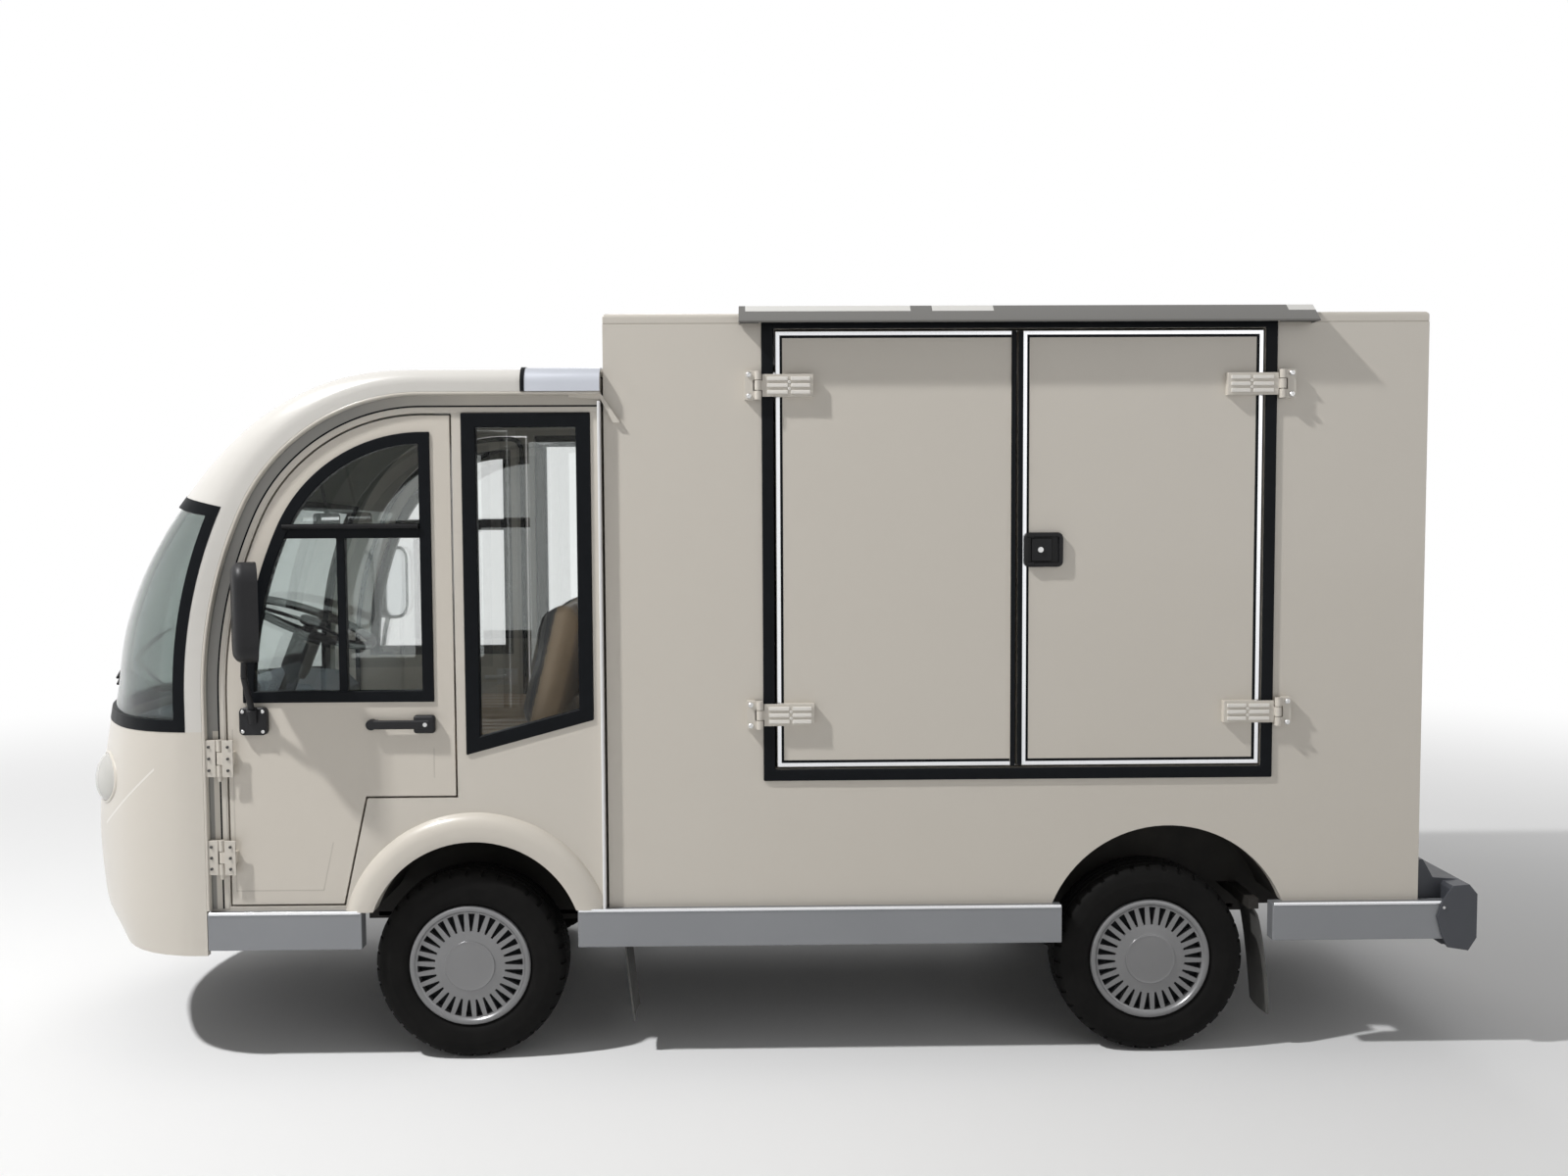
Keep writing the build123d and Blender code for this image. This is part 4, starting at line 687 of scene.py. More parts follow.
# Door mirrors and handles: moulded black plastic. The mirror is turned to the driver on a round arm, whose base has
# four screws. The handle is a pull with a round eye at its front and a lock barrel behind it.
def bar(start, end, radius, sides=20):
    """A round bar between two points."""
    start, end = Vector(start), Vector(end)
    run = end - start
    rod = drawn(bpy.ops.mesh.primitive_cylinder_add, vertices=sides, radius=radius, depth=run.length,
                location=(start + end) / 2)
    rod.rotation_euler = run.to_track_quat("Z", "Y").to_euler()
    fixed(rod)
    choose(rod, "EDGE", lambda place, along: abs(along.dot(run.normalized())) < 0.1
           and min((place - start).length, (place - end).length) < radius * 1.05)
    bpy.ops.mesh.bevel(offset=radius * 0.18, segments=2, affect="EDGES")
    done()
    return rod


def stepped(piece, facing, *steps):
    """Insets the faces that look one way, a step of (width, rise) at a time."""
    choose(piece, "FACE", lambda place, normal: normal.dot(Vector(facing)) > 0.9)
    for width, rise in steps:
        bpy.ops.mesh.inset(thickness=width, depth=rise)
    done()


def rounded(piece, axis, radius, segments):
    """Rounds the edges of a block that run along an axis."""
    choose(piece, "EDGE", lambda place, along: abs(getattr(along, axis)) > 0.9)
    bpy.ops.mesh.bevel(offset=radius, segments=segments, affect="EDGES")
    done()


def screw(x, y, z, radius, high=0.003):
    """A domed screw head on the left side, with a round recess in it."""
    head = drawn(bpy.ops.mesh.primitive_cylinder_add, vertices=16, radius=radius, depth=high,
                 location=(x, y - high / 2, z), rotation=(math.pi / 2, 0, 0))
    fixed(head)
    stepped(head, (0, -1, 0), (radius * 0.25, high * 0.3), (radius * 0.35, 0.0), (radius * 0.05, -high * 0.5))
    return head


black_plastic = Finish("black_moulded_plastic", Specular_IOR_Level=0.3)
black_plastic.mottled((0.006, 0.006, 0.007), (0.015, 0.015, 0.017), 12.0)
black_plastic.worn(0.38, 0.52, 40.0)
black_plastic.grained(0.0003, 0.5, 650.0, 2.0)
mirror_x, mirror_y, mirror_z = (-1.456, -1.392), (-0.8575, -0.7185), (1.196, 1.478)
mirror_middle, mirror_turn = (-1.424, -0.788, 1.337), -math.radians(24.0)


def turned_inwards(piece):
    """Turns a part of the left mirror about its upright middle line, to face the driver."""
    only(piece)
    bpy.ops.transform.rotate(value=mirror_turn, orient_axis="Z", center_override=mirror_middle)


housing = stock((mirror_x[0], mirror_y[0], mirror_z[0]), (mirror_x[1], mirror_y[1], mirror_z[1]))
rounded(housing, "x", 0.055, 7)
choose(housing, "EDGE", lambda place, along: place.x < mirror_x[0] + 0.001 and abs(along.x) < 0.1)
bpy.ops.mesh.bevel(offset=0.026, segments=5, affect="EDGES")
done()
stepped(housing, (1, 0, 0), (0.007, 0.0), (0.002, -0.005))
silvering = Finish("mirror_glass", Metallic=1.0)
silvering.mottled((0.80, 0.82, 0.83), (0.86, 0.88, 0.89), 2.0)
silvering.worn(0.02, 0.06, 9.0)
turned_inwards(housing)
pair(housing, "mirror_housing_left", "cab_door_left", black_plastic, ("door_fittings_left",))
mirror_pane = stock((mirror_x[1] - 0.006, mirror_y[0] + 0.011, mirror_z[0] + 0.012),
                    (mirror_x[1] - 0.004, mirror_y[1] - 0.011, mirror_z[1] - 0.012))
rounded(mirror_pane, "x", 0.045, 7)
turned_inwards(mirror_pane)
pair(mirror_pane, "mirror_pane_left", "cab_door_left", silvering)
elbow = (-1.440, -0.760, 1.150)
arm = [bar((-1.440, -0.694, 1.030), elbow, 0.009), bar(elbow, (-1.430, -0.781, 1.215), 0.009),
       bar((-1.428, -0.781, 1.200), (-1.428, -0.781, 1.300), 0.012)]
base = stock((-1.480, -0.696, 0.974), (-1.400, -0.680, 1.054))
rounded(base, "y", 0.014, 5)
stepped(base, (0, -1, 0), (0.003, 0.003))
collar = bar((-1.440, -0.692, 1.012), (-1.440, -0.706, 1.052), 0.016)
pair(joined(arm + [base, collar]), "mirror_arm_left", "cab_door_left", black_plastic)
steel = Finish("bright_steel", Metallic=1.0)
steel.mottled((0.55, 0.55, 0.55), (0.70, 0.70, 0.69), 30.0)
steel.worn(0.22, 0.40, 50.0)
steel.grained(0.0001, 0.4, 400.0, 2.0)
base_screws = joined([screw(x, -0.6985, z, 0.0050) for x in (-1.469, -1.411) for z in (0.985, 1.043)])
pair(base_screws, "mirror_screws_left", "cab_door_left", steel)

grip = stock((-1.108, -0.706, 0.989), (-0.930, -0.693, 1.015), 0.005)
lock = stock((-0.979, -0.704, 0.976), (-0.917, -0.680, 1.029), 0.009, 4)
foot = stock((-1.108, -0.700, 0.989), (-1.082, -0.680, 1.015), 0.004)
eye = bar((-1.100, -0.680, 1.002), (-1.100, -0.7055, 1.002), 0.0155, 32)
pair(joined([grip, lock, foot, eye]), "door_handle_left", "cab_door_left", black_plastic)
barrel = bar((-0.944, -0.7035, 1.002), (-0.944, -0.7065, 1.002), 0.0065)
pair(barrel, "door_lock_left", "cab_door_left", steel)


# Cab hinges: two pressed steel butt hinges for each door, painted with the body. Three dark zinc screws hold each
# leaf, and the end of the pin shows below it.
fixed_leaves, swung_leaves, fixed_screws, swung_screws = [], [], [], []
for low_z, high_z in ((0.854, 0.961), (0.567, 0.668)):
    fixed_leaves.append(stock((-1.584, -0.7015, low_z), (-1.5495, -0.6985, high_z), 0.001))
    swung_leaves.append(stock((-1.5295, -0.7055, low_z), (-1.4975, -0.7015, high_z), 0.001))
    fixed_leaves.append(bar((-1.540, -0.694, low_z - 0.014), (-1.540, -0.694, low_z + 0.002), 0.0055))
    for share in (0.18, 0.50, 0.82):
        z = low_z + share * (high_z - low_z)
        fixed_screws.append(screw(-1.5680, -0.7015, z, 0.0042))
        swung_screws.append(screw(-1.5120, -0.7055, z, 0.0042))
dark_zinc = Finish("dark_zinc_screws", Metallic=0.6)
dark_zinc.mottled((0.055, 0.054, 0.052), (0.100, 0.098, 0.094), 60.0)
dark_zinc.worn(0.40, 0.60, 50.0)
both(joined(fixed_leaves), "hinge_leaves", ivory)
pair(joined(swung_leaves), "door_hinge_leaves_left", "cab_door_left", ivory)
both(joined(fixed_screws), "hinge_screws", dark_zinc)
pair(joined(swung_screws), "door_hinge_screws_left", "cab_door_left", dark_zinc)


# Cargo doors: flat panels edged with a ribbed aluminium section on every side, and a black rubber strip down the
# meeting edges.
leaf_face_y, bead_wide, groove_wide, bead_proud = -0.6802, 0.0110, 0.0075, 0.0036


def raised(piece, height, test):
    """Lifts the faces that pass a test, or sinks them, with walls all round."""
    choose(piece, "FACE", test)
    bpy.ops.mesh.extrude_region_shrink_fatten(TRANSFORM_OT_shrink_fatten={"value": height})
    done()


def edging(low_x, high_x, low_z, high_z, body, open_rear):
    """A frame of bright bead with a dark groove inside it, its rear side left open under the meeting rubber."""
    frame_piece = drawn(bpy.ops.mesh.primitive_plane_add, size=1.0, rotation=(math.pi / 2, 0, 0),
                        location=((low_x + high_x) / 2, leaf_face_y, (low_z + high_z) / 2))
    frame_piece.scale = (high_x - low_x, high_z - low_z, 1.0)
    fixed(frame_piece)
    choose(frame_piece, "FACE", lambda place, normal: True)
    bpy.ops.mesh.inset(thickness=bead_wide, depth=0.0)
    bpy.ops.mesh.inset(thickness=groove_wide, depth=0.0)
    bpy.ops.mesh.delete(type="FACE")
    done()
    painted(frame_piece, bright, rubber)

    def reach(place):
        return min(place.x - low_x, high_x - place.x, place.z - low_z, high_z - place.z)

    for face in frame_piece.data.polygons:
        face.material_index = 1 if reach(face.center) > bead_wide else 0
    if open_rear:
        choose(frame_piece, "FACE", lambda place, normal: place.x > high_x - 0.020)
        bpy.ops.mesh.delete(type="FACE")
        done()
    raised(frame_piece, bead_proud, lambda place, normal: reach(place) < bead_wide)
    if max(v.co.y for v in frame_piece.data.vertices) > -0.679:
        for vertex in frame_piece.data.vertices:
            vertex.co.y = leaf_face_y - abs(vertex.co.y - leaf_face_y)
        frame_piece.data.flip_normals()
    soften = frame_piece.modifiers.new("edge", "BEVEL")
    soften.width, soften.segments, soften.angle_limit = 0.0008, 2, math.radians(40)
    name = body.replace("cargo_door", "cargo_edging")
    pair(frame_piece, name, body, None)


edging(0.0745, 0.770, 0.8675, 2.1265, "cargo_door_left_front", True)
edging(0.7875, 1.4815, 0.8675, 2.1265, "cargo_door_left_rear", False)
for low_x, high_x, body in ((0.753, 0.767, "cargo_door_left_front"), (0.773, 0.787, "cargo_door_left_rear")):
    strip = stock((low_x, -0.6862, 0.866), (high_x, -0.6800, 2.128), 0.002)
    pair(strip, body.replace("cargo_door", "meeting_rubber"), body, rubber)


# Strap hinges: ribbed pressed straps in a lighter tone of the body's paint, bolted to the leaves, and the steel bolts
# of their brackets on the box's sides.
strap_paint = body_paint("strap_paint_fresh", (0.760, 0.730, 0.680, 1), (0.700, 0.670, 0.615, 1))
for pin_x, side, body in ((0.023, 1, "cargo_door_left_front"), (1.533, -1, "cargo_door_left_rear")):
    straps, bolts = [], []
    for z in (1.022, 1.972):
        for rise in (-0.019, 0.0, 0.019):
            for near, far in ((0.026, 0.086), (0.094, 0.150)):
                low_x, high_x = sorted((pin_x + side * near, pin_x + side * far))
                rib_low, rib_high = z + rise - 0.0055, z + rise + 0.0055
                straps.append(stock((low_x, -0.7062, rib_low), (high_x, -0.7015, rib_high), 0.002))
        for rise in (-0.0095, 0.0095):
            straps.append(screw(pin_x + side * 0.090, -0.702, z + rise, 0.0045))
            bolts.append(screw(pin_x - side * 0.026, -0.702, z + rise * 3.2, 0.0075, 0.006))
    pair(joined(straps), body.replace("cargo_door", "strap_ribs"), body, strap_paint)
    both(joined(bolts), body.replace("cargo_door_left", "bracket_bolts"), steel)


# Cargo latches: a black paddle in a dished plate of moulded plastic, with a steel key barrel in it, screwed to the
# rear leaf of each side from within.
dish = stock((0.790, -0.692, 1.447), (0.904, -0.6803, 1.547))
rounded(dish, "y", 0.016, 5)
stepped(dish, (0, -1, 0), (0.004, 0.003), (0.008, 0.0), (0.002, -0.009))
paddle = stock((0.812, -0.693, 1.463), (0.872, -0.684, 1.531), 0.003)
hooks = [stock((0.797, -0.6965, z - 0.005), (0.820, -0.691, z + 0.005), 0.002) for z in (1.456, 1.538)]
gloss_black = Finish("gloss_black_plastic", Specular_IOR_Level=0.15, Coat_Weight=0.08, Coat_Roughness=0.08)
gloss_black.mottled((0.006, 0.006, 0.007), (0.014, 0.014, 0.015), 12.0)
gloss_black.worn(0.16, 0.28, 30.0)
pair(joined([dish, paddle] + hooks), "latch_dish_left", "cargo_door_left_rear", gloss_black,
     ("cargo_latch_left",))
key = joined([bar((0.838, -0.692, 1.497), (0.838, -0.6975, 1.497), 0.0085),
              stock((0.8365, -0.6985, 1.490), (0.8395, -0.697, 1.504), 0.0004)])
pair(key, "latch_key_left", "cargo_door_left_rear", steel)


# Window frames and seals: black rubber pressed round each opening, clear panes in it, and a rail that the sliding
# pane of each cab door runs on.
def on_node(finish, *nodes):
    """Gives the CAD's own objects a finish."""
    for node in nodes:
        painted(solid_of(node), finish)


for node in ("quarter_frames", "door_window_frame_left", "door_window_frame_right", "doorway_seals"):
    rolled(node, rubber, 0.004, segments=3)
on_node(window_glass, "door_glass_left", "door_glass_right", "quarter_glass")
slide_rail = bar((-1.345, -0.688, 1.575), (-0.955, -0.688, 1.575), 0.008)
pair(slide_rail, "window_slide_rail_left", "cab_door_left", gloss_black)


# Skirts: folded steel sheet in silver-grey paint, bolted under the body between the wheels and behind them, with a
# bright aluminium bead pressed over the top edge.
skirt_grey = Finish("silver_grey_paint", Metallic=0.35)
skirt_grey.mottled((0.225, 0.232, 0.245), (0.265, 0.272, 0.285), 3.0, 5.0)
skirt_grey.worn(0.34, 0.46, 20.0)
skirt_grey.grained(0.0001, 0.3, 200.0, 2.0)
rolled("side_skirts", skirt_grey, 0.003)
beads = [stock((low_x, -0.7105, 0.4490), (high_x, -0.7040, 0.4585), 0.0025)
         for low_x, high_x in ((-1.580, -1.140), (-0.509, 0.902), (1.526, 2.043))]
both(joined(beads), "skirt_beads", bright)


# Bumper, mudflaps and rear lamps: the bumper is moulded in dark grey plastic and screwed on, the flaps are cut from
# rubber sheet and hang behind the wheels, and the lamps have ribbed acrylic lenses.
bumper_grey = Finish("bumper_plastic_grey")
bumper_grey.mottled((0.040, 0.043, 0.051), (0.058, 0.062, 0.073), 6.0, 4.0)
bumper_grey.worn(0.42, 0.56, 25.0)
bumper_grey.grained(0.0003, 0.5, 520.0, 2.0)
rolled("rear_bumper", bumper_grey, 0.010, segments=5, limit=20.0)
both(screw(2.026, -0.716, 0.441, 0.0042), "bumper_screws", steel)

flap_rubber = Finish("mudflap_rubber")
flap_dust = flap_rubber.spread(flap_rubber.noise(7.0, 5.0), 0.0, 1.0) * (1.15 - flap_rubber.height("Z") * 2.0)
flap_rubber.colour(flap_rubber.between(flap_dust, (0.030, 0.030, 0.029, 1), (0.190, 0.186, 0.176, 1)))
flap_rubber.worn(0.65, 0.85, 18.0)
flap_rubber.grained(0.0006, 0.5, 120.0, 3.0)
flaps = []
for head, high_z, lean, hang in ((-0.391, 0.455, 0.034, 1.15), (1.483, 0.425, 0.052, 0.55)):
    flap = drawn(bpy.ops.mesh.primitive_grid_add, x_subdivisions=12, y_subdivisions=18, size=1.0)
    for vertex in flap.data.vertices:
        across, down = vertex.co.x + 0.5, 0.5 - vertex.co.y
        curl = 0.006 * math.sin(math.pi * across) * down
        width = 0.165 - 0.030 * max(0.0, down - 0.75) ** 2 * 8
        x = head + 0.003 + lean * down ** hang - curl
        vertex.co = (x, -0.4895 - across * width, high_z - down * (high_z - 0.1000))
    walled(flap, 0.005, outwards=0.0)
    flaps += [flap, mirrored(flap)]
settle(joined(flaps), "mudflap_sheets", "chassis", flap_rubber, ("mudflaps",))

rear_lens = Finish("rear_lamp_lens", Coat_Weight=0.8, Coat_Roughness=0.05)
lens_z = rear_lens.height("Z")
amber = rear_lens.between(lens_z > 0.80, (0.42, 0.010, 0.008, 1), (0.80, 0.22, 0.015, 1))
rear_lens.colour(rear_lens.between(lens_z < 0.70, amber, (0.72, 0.70, 0.66, 1)))
rear_lens.worn(0.12, 0.22, 30.0)
rear_lens.bump(rear_lens.bands("Y", 45.0), 0.0012, 0.6)
rolled("tail_lamps", rear_lens, 0.006, segments=4)


# Wheels: moulded rubber tyres with a ribbed tread on pressed steel rims, and silver painted plastic covers with
# thirty slots, which clip into the rims.
def turned(outline, steps):
    """A ring turned about the Y axis from a closed outline of (radius, y) corners."""
    ring = drawn(bpy.ops.mesh.primitive_circle_add, vertices=len(outline), radius=1.0)
    for vertex, (radius, y) in zip(ring.data.vertices, outline):
        vertex.co = (radius, y, 0.0)
    open_up(ring)
    bpy.ops.mesh.spin(steps=steps, angle=2 * math.pi, center=(0, 0, 0), axis=(0, 1, 0))
    bpy.ops.mesh.select_all(action="SELECT")
    bpy.ops.mesh.remove_doubles(threshold=0.00001)
    bpy.ops.mesh.normals_make_consistent(inside=False)
    done()
    return ring


def turn_index(place, steps):
    return int((math.atan2(place.z, place.x) % (2 * math.pi)) / (2 * math.pi) * steps) % steps


# Columns: radius, distance out from the wheel's middle; the tread half, from the bead to the middle
tyre_half = ((0.178, 0.064), (0.183, 0.0725), (0.192, 0.0775), (0.198, 0.0790), (0.200, 0.0800), (0.214, 0.0820),
             (0.228, 0.0825), (0.231, 0.0832), (0.234, 0.0825), (0.246, 0.0808), (0.258, 0.0775), (0.266, 0.0730),
             (0.2735, 0.0655), (0.2785, 0.0540), (0.2797, 0.0450), (0.2740, 0.0440), (0.2740, 0.0385),
             (0.2802, 0.0375), (0.2808, 0.0170), (0.2750, 0.0160), (0.2750, 0.0105), (0.2810, 0.0095))
tyre_steps = 144
tyre = turned([(r, -y) for r, y in tyre_half] + [(r, y) for r, y in reversed(tyre_half)], tyre_steps)
raised(tyre, -0.005, lambda place, normal: abs(place.y) > 0.044 and math.hypot(place.x, place.z) > 0.2665
       and turn_index(place, tyre_steps) % 4 == 0)
choose(tyre, "FACE", lambda place, normal: 0.017 < abs(place.y) < 0.0375 and math.hypot(place.x, place.z) > 0.2795
       and turn_index(place, tyre_steps) % 2 == 0)
bpy.ops.mesh.inset(thickness=0.0042, depth=0.0, use_individual=True)
bpy.ops.mesh.extrude_region_shrink_fatten(TRANSFORM_OT_shrink_fatten={"value": -0.004})
done()
tyre_rubber = Finish("tyre_rubber", Specular_IOR_Level=0.08)
tyre_rubber.mottled((0.004, 0.004, 0.004), (0.011, 0.0105, 0.010), 14.0, 5.0)
tyre_rubber.worn(0.55, 0.75, 30.0, 4.0)
tyre_rubber.grained(0.0003, 0.5, 320.0, 3.0)

rim = turned(((0.178, -0.0720), (0.178, 0.0725), (0.168, 0.0725), (0.163, 0.030), (0.168, -0.020), (0.130, -0.014),
              (0.090, -0.022), (0.046, -0.020), (0.046, 0.0165), (0.016, 0.0165), (0.016, -0.0425), (0.046, -0.0425),
              (0.046, -0.030), (0.090, -0.032), (0.130, -0.026), (0.168, -0.030), (0.168, -0.0720)), 72)
rim_steel = Finish("painted_rim_steel", Metallic=0.4)
rim_steel.mottled((0.10, 0.10, 0.105), (0.17, 0.17, 0.17), 9.0, 4.0)
rim_steel.worn(0.45, 0.62, 26.0)
rim_steel.grained(0.0002, 0.4, 220.0)

# Columns: radius, distance from the wheel's middle
cover_steps = 150
cover = turned(((0.176, -0.0520), (0.1772, -0.0700), (0.1760, -0.0752), (0.1725, -0.0778), (0.1680, -0.0785),
                (0.1635, -0.0775), (0.1610, -0.0745), (0.1585, -0.0722), (0.1550, -0.0715), (0.1030, -0.0742),
                (0.0960, -0.0752), (0.0850, -0.0762), (0.0765, -0.0768), (0.0745, -0.0776), (0.0735, -0.0798),
                (0.0715, -0.0806), (0.0690, -0.0800), (0.0640, -0.0797), (0.0400, -0.0806), (0.0200, -0.0810),
                (0.0, -0.0812), (0.0, -0.0500), (0.1030, -0.0480), (0.1550, -0.0480)), cover_steps)
for vertex in cover.data.vertices:
    radius = math.hypot(vertex.co.x, vertex.co.z)
    if abs(radius - 0.103) < 0.001 and vertex.co.y < -0.07:
        step = round((math.atan2(vertex.co.z, vertex.co.x) % (2 * math.pi)) / (2 * math.pi) * cover_steps)
        shift = {0: 0.85, 3: -0.85}.get(step % 5, 0.0)
        turn = (step + shift) * 2 * math.pi / cover_steps
        vertex.co.x, vertex.co.z = radius * math.cos(turn), radius * math.sin(turn)
raised(cover, -0.019, lambda place, normal: 0.103 < math.hypot(place.x, place.z) < 0.155 and place.y < -0.07
       and turn_index(place, cover_steps) % 5 < 3)
hubcap_silver = Finish("hubcap_silver_paint", Metallic=0.6, Coat_Weight=0.3, Coat_Roughness=0.12)
hubcap_silver.mottled((0.175, 0.175, 0.178), (0.225, 0.225, 0.228), 6.0, 4.0)
hubcap_silver.worn(0.26, 0.38, 24.0)
hubcap_silver.grained(0.0001, 0.3, 500.0, 2.0)
painted(cover, hubcap_silver, rubber)
for face in cover.data.polygons:
    face.material_index = 1 if face.select else 0

for corner, x, side in (("front_left", -0.835, -1), ("front_right", -0.835, 1), ("rear_left", 1.175, -1),
                        ("rear_right", 1.175, 1)):
    spot = Matrix.Translation((x, side * 0.592, 0.281)) @ Matrix.Rotation(0.0 if side < 0 else math.pi, 4, "Z")
    for kind, template, finish, slot, stands_for in (
            ("tyre_tread_", tyre, tyre_rubber, "tyre_rubber", ("tyre_" + corner,)),
            ("rim_", rim, rim_steel, "steel", ()),
            ("wheel_cover_", cover, None, "hubcap_silver", ("wheel_" + corner,))):
        part = linked(kind + corner, template.data.copy())
        part.data.transform(spot)
        settle(part, kind + corner, "wheel_" + corner, finish, stands_for, smooth=35.0)
for template in (tyre, rim, cover):
    bpy.data.objects.remove(template)


# Chassis: welded steel channel frame with its leaf springs, axles, steering knuckles, battery box and wheel wells,
# all sprayed with black underbody paint.
chassis_black = Finish("black_underbody_paint", Specular_IOR_Level=0.25)
chassis_black.mottled((0.010, 0.010, 0.010), (0.045, 0.041, 0.036), 8.0, 6.0)
chassis_black.worn(0.55, 0.8, 22.0, 4.0)
chassis_black.grained(0.0005, 0.5, 160.0, 4.0)
on_node(chassis_black, "chassis_frame", "battery_box", "rear_wheel_wells", "front_wheel_wells", "front_axle_beam",
        "knuckle_left", "knuckle_right", "rear_axle", "leaf_springs", "steering_column")


# Cargo floor and cab floor: ribbed rubber mat, cut to the floor's outline and laid over the sheet steel that is
# welded to the frame.
floor_mat = Finish("ribbed_floor_mat")
floor_mat.mottled((0.030, 0.031, 0.032), (0.060, 0.060, 0.060), 9.0, 5.0)
floor_mat.worn(0.6, 0.8, 22.0)
floor_mat.bump(floor_mat.bands("Y", 22.0), 0.002, 0.6)
on_node(floor_mat, "cab_floor", "box_floor")


# Dashboard and steering wheel: grey-blue moulded plastic with an instrument pod, and a soft black rim with three
# spokes on its column.
dash_plastic = Finish("dash_plastic_grey_blue")
dash_plastic.mottled((0.085, 0.105, 0.130), (0.120, 0.145, 0.175), 7.0)
dash_plastic.worn(0.5, 0.65, 40.0)
dash_plastic.grained(0.0004, 0.5, 480.0, 2.0)
rolled("dashboard", dash_plastic, 0.012, segments=4)
pod = stock((-1.700, -0.450, 1.010), (-1.590, -0.190, 1.075), 0.018, 5)
dials = [bar((-1.592, y, 1.044), (-1.586, y, 1.044), 0.024, 32) for y in (-0.375, -0.265)]
settle(pod, "instrument_pod", "chassis", dash_plastic)
settle(joined(dials), "instrument_dials", "chassis", gloss_black)

wheel_spot = Matrix.Translation((-1.380, -0.320, 1.270)) @ Matrix.Rotation(math.radians(22.0), 4, "Y")
rim_r = 0.192
hand_rim = drawn(bpy.ops.mesh.primitive_torus_add, major_radius=rim_r, minor_radius=0.0135, major_segments=96,
                 minor_segments=18)
choose(hand_rim, "FACE", lambda place, normal: abs(math.hypot(place.x, place.y) - rim_r) < 0.012 and place.z < -0.006)
bpy.ops.mesh.inset(thickness=0.001, depth=-0.0006, use_individual=True)
done()
boss = bar((0, 0, -0.012), (0, 0, 0.012), 0.040, 40)
stepped(boss, (0, 0, 1), (0.006, 0.002), (0.010, 0.0015))
spokes = []
for turn in (90.0, 210.0, 330.0):
    spoke = stock((0.030, -0.013, -0.004), (0.186, 0.013, 0.004), 0.003)
    spoke.rotation_euler = (0, 0, math.radians(turn))
    spokes.append(spoke)
hand_wheel = joined([hand_rim, boss] + spokes)
hand_wheel.data.transform(wheel_spot)
soft_black = Finish("soft_black_rim_plastic", Specular_IOR_Level=0.15)
soft_black.mottled((0.008, 0.008, 0.009), (0.018, 0.018, 0.019), 14.0)
soft_black.worn(0.45, 0.6, 34.0)
soft_black.grained(0.0004, 0.5, 420.0, 2.0)
settle(hand_wheel, "steering_wheel_moulding", "steering_wheel", soft_black, ("steering_wheel",),
       smooth=40.0)

shroud = bar((-1.397, -0.320, 1.228), (-1.442, -0.320, 1.116), 0.044, 32)
choose(shroud, "FACE", lambda place, normal: normal.z < -0.8)
bpy.ops.mesh.inset(thickness=0.008, depth=0.010)
done()
settle(shroud, "column_shroud", "chassis", soft_black, smooth=40.0)


# Seats: foam pads in stitched tan leatherette, with dark grey cloth on their rear and lower faces. They are screwed
# to a plinth behind the footwell.
def pad_blank(corners):
    """A six-sided block between eight corners, cut up for the cloth."""
    blank = drawn(bpy.ops.mesh.primitive_cube_add, size=1.0)
    for vertex in blank.data.vertices:
        low = vertex.co.z < 0
        front, rear = corners[0] if low else corners[1]
        x = front if vertex.co.x < 0 else rear
        vertex.co = (x, -0.072 if vertex.co.y > 0 else -0.548, corners[2] if low else corners[3])
    open_up(blank)
    bpy.ops.mesh.bevel(offset=0.028, segments=4, affect="EDGES")
    done()
    remesh = blank.modifiers.new("remesh", "REMESH")
    remesh.mode, remesh.voxel_size = "VOXEL", 0.0105
    apply_all(blank)
    return blank


def puffed(pad, cap):
    """Swells a pad as stuffed cloth, no point moving further than the cap."""
    rest = [vertex.co.copy() for vertex in pad.data.vertices]
    only(pad)
    cloth = pad.modifiers.new("cloth", "CLOTH")
    cloth.settings.use_pressure = True
    cloth.settings.uniform_pressure_force = 4.0
    cloth.settings.effector_weights.gravity = 0.0
    cloth.point_cache.frame_start, cloth.point_cache.frame_end = 1, 20
    for step in range(1, 21):
        bpy.context.scene.frame_set(step)
    apply_all(pad)
    bpy.context.scene.frame_set(1)
    for vertex, start in zip(pad.data.vertices, rest):
        move = vertex.co - start
        if move.length > cap:
            vertex.co = start + move * (cap / move.length)
    only(pad)
    smoother = pad.modifiers.new("rounding", "SUBSURF")
    smoother.levels = smoother.render_levels = 1
    apply_all(pad)
    return pad


def stitched(pad, channels, seam, depth):
    """Presses stitched channels into the face of a pad, and its edge seam all round."""
    for vertex in pad.data.vertices:
        across, along, outward = channels(vertex.co)
        dip = sum(math.exp(-((across - line) / 0.0075) ** 2) for line in seam)
        vertex.co = vertex.co - outward * depth * dip * along


leatherette = Finish("tan_leatherette")
grain = leatherette.noise(260.0, 2.0) * 0.6 + leatherette.noise(24.0, 3.0) * 0.4
leatherette.mottled((0.330, 0.235, 0.150), (0.420, 0.310, 0.205), 5.0, 4.0)
leatherette.worn(0.42, 0.56, 30.0)
leatherette.bump(grain, 0.0008, 0.5)
seat_grey = Finish("dark_grey_seat_cloth", Sheen_Weight=0.25)
seat_grey.mottled((0.030, 0.030, 0.033), (0.062, 0.062, 0.066), 90.0, 3.0)
seat_grey.worn(0.75, 0.92, 30.0)
seat_grey.bump(seat_grey.bands("DIAGONAL", 160.0, 1.5), 0.0006, 0.5)


def two_tone(pad, name, node, dark):
    pads = joined([pad, mirrored(pad)])
    painted(pads, leatherette, seat_grey)
    for face in pads.data.polygons:
        face.material_index = 1 if dark(face.center, face.normal) else 0
    settle(pads, name, "chassis", None, (node,), smooth=60.0)


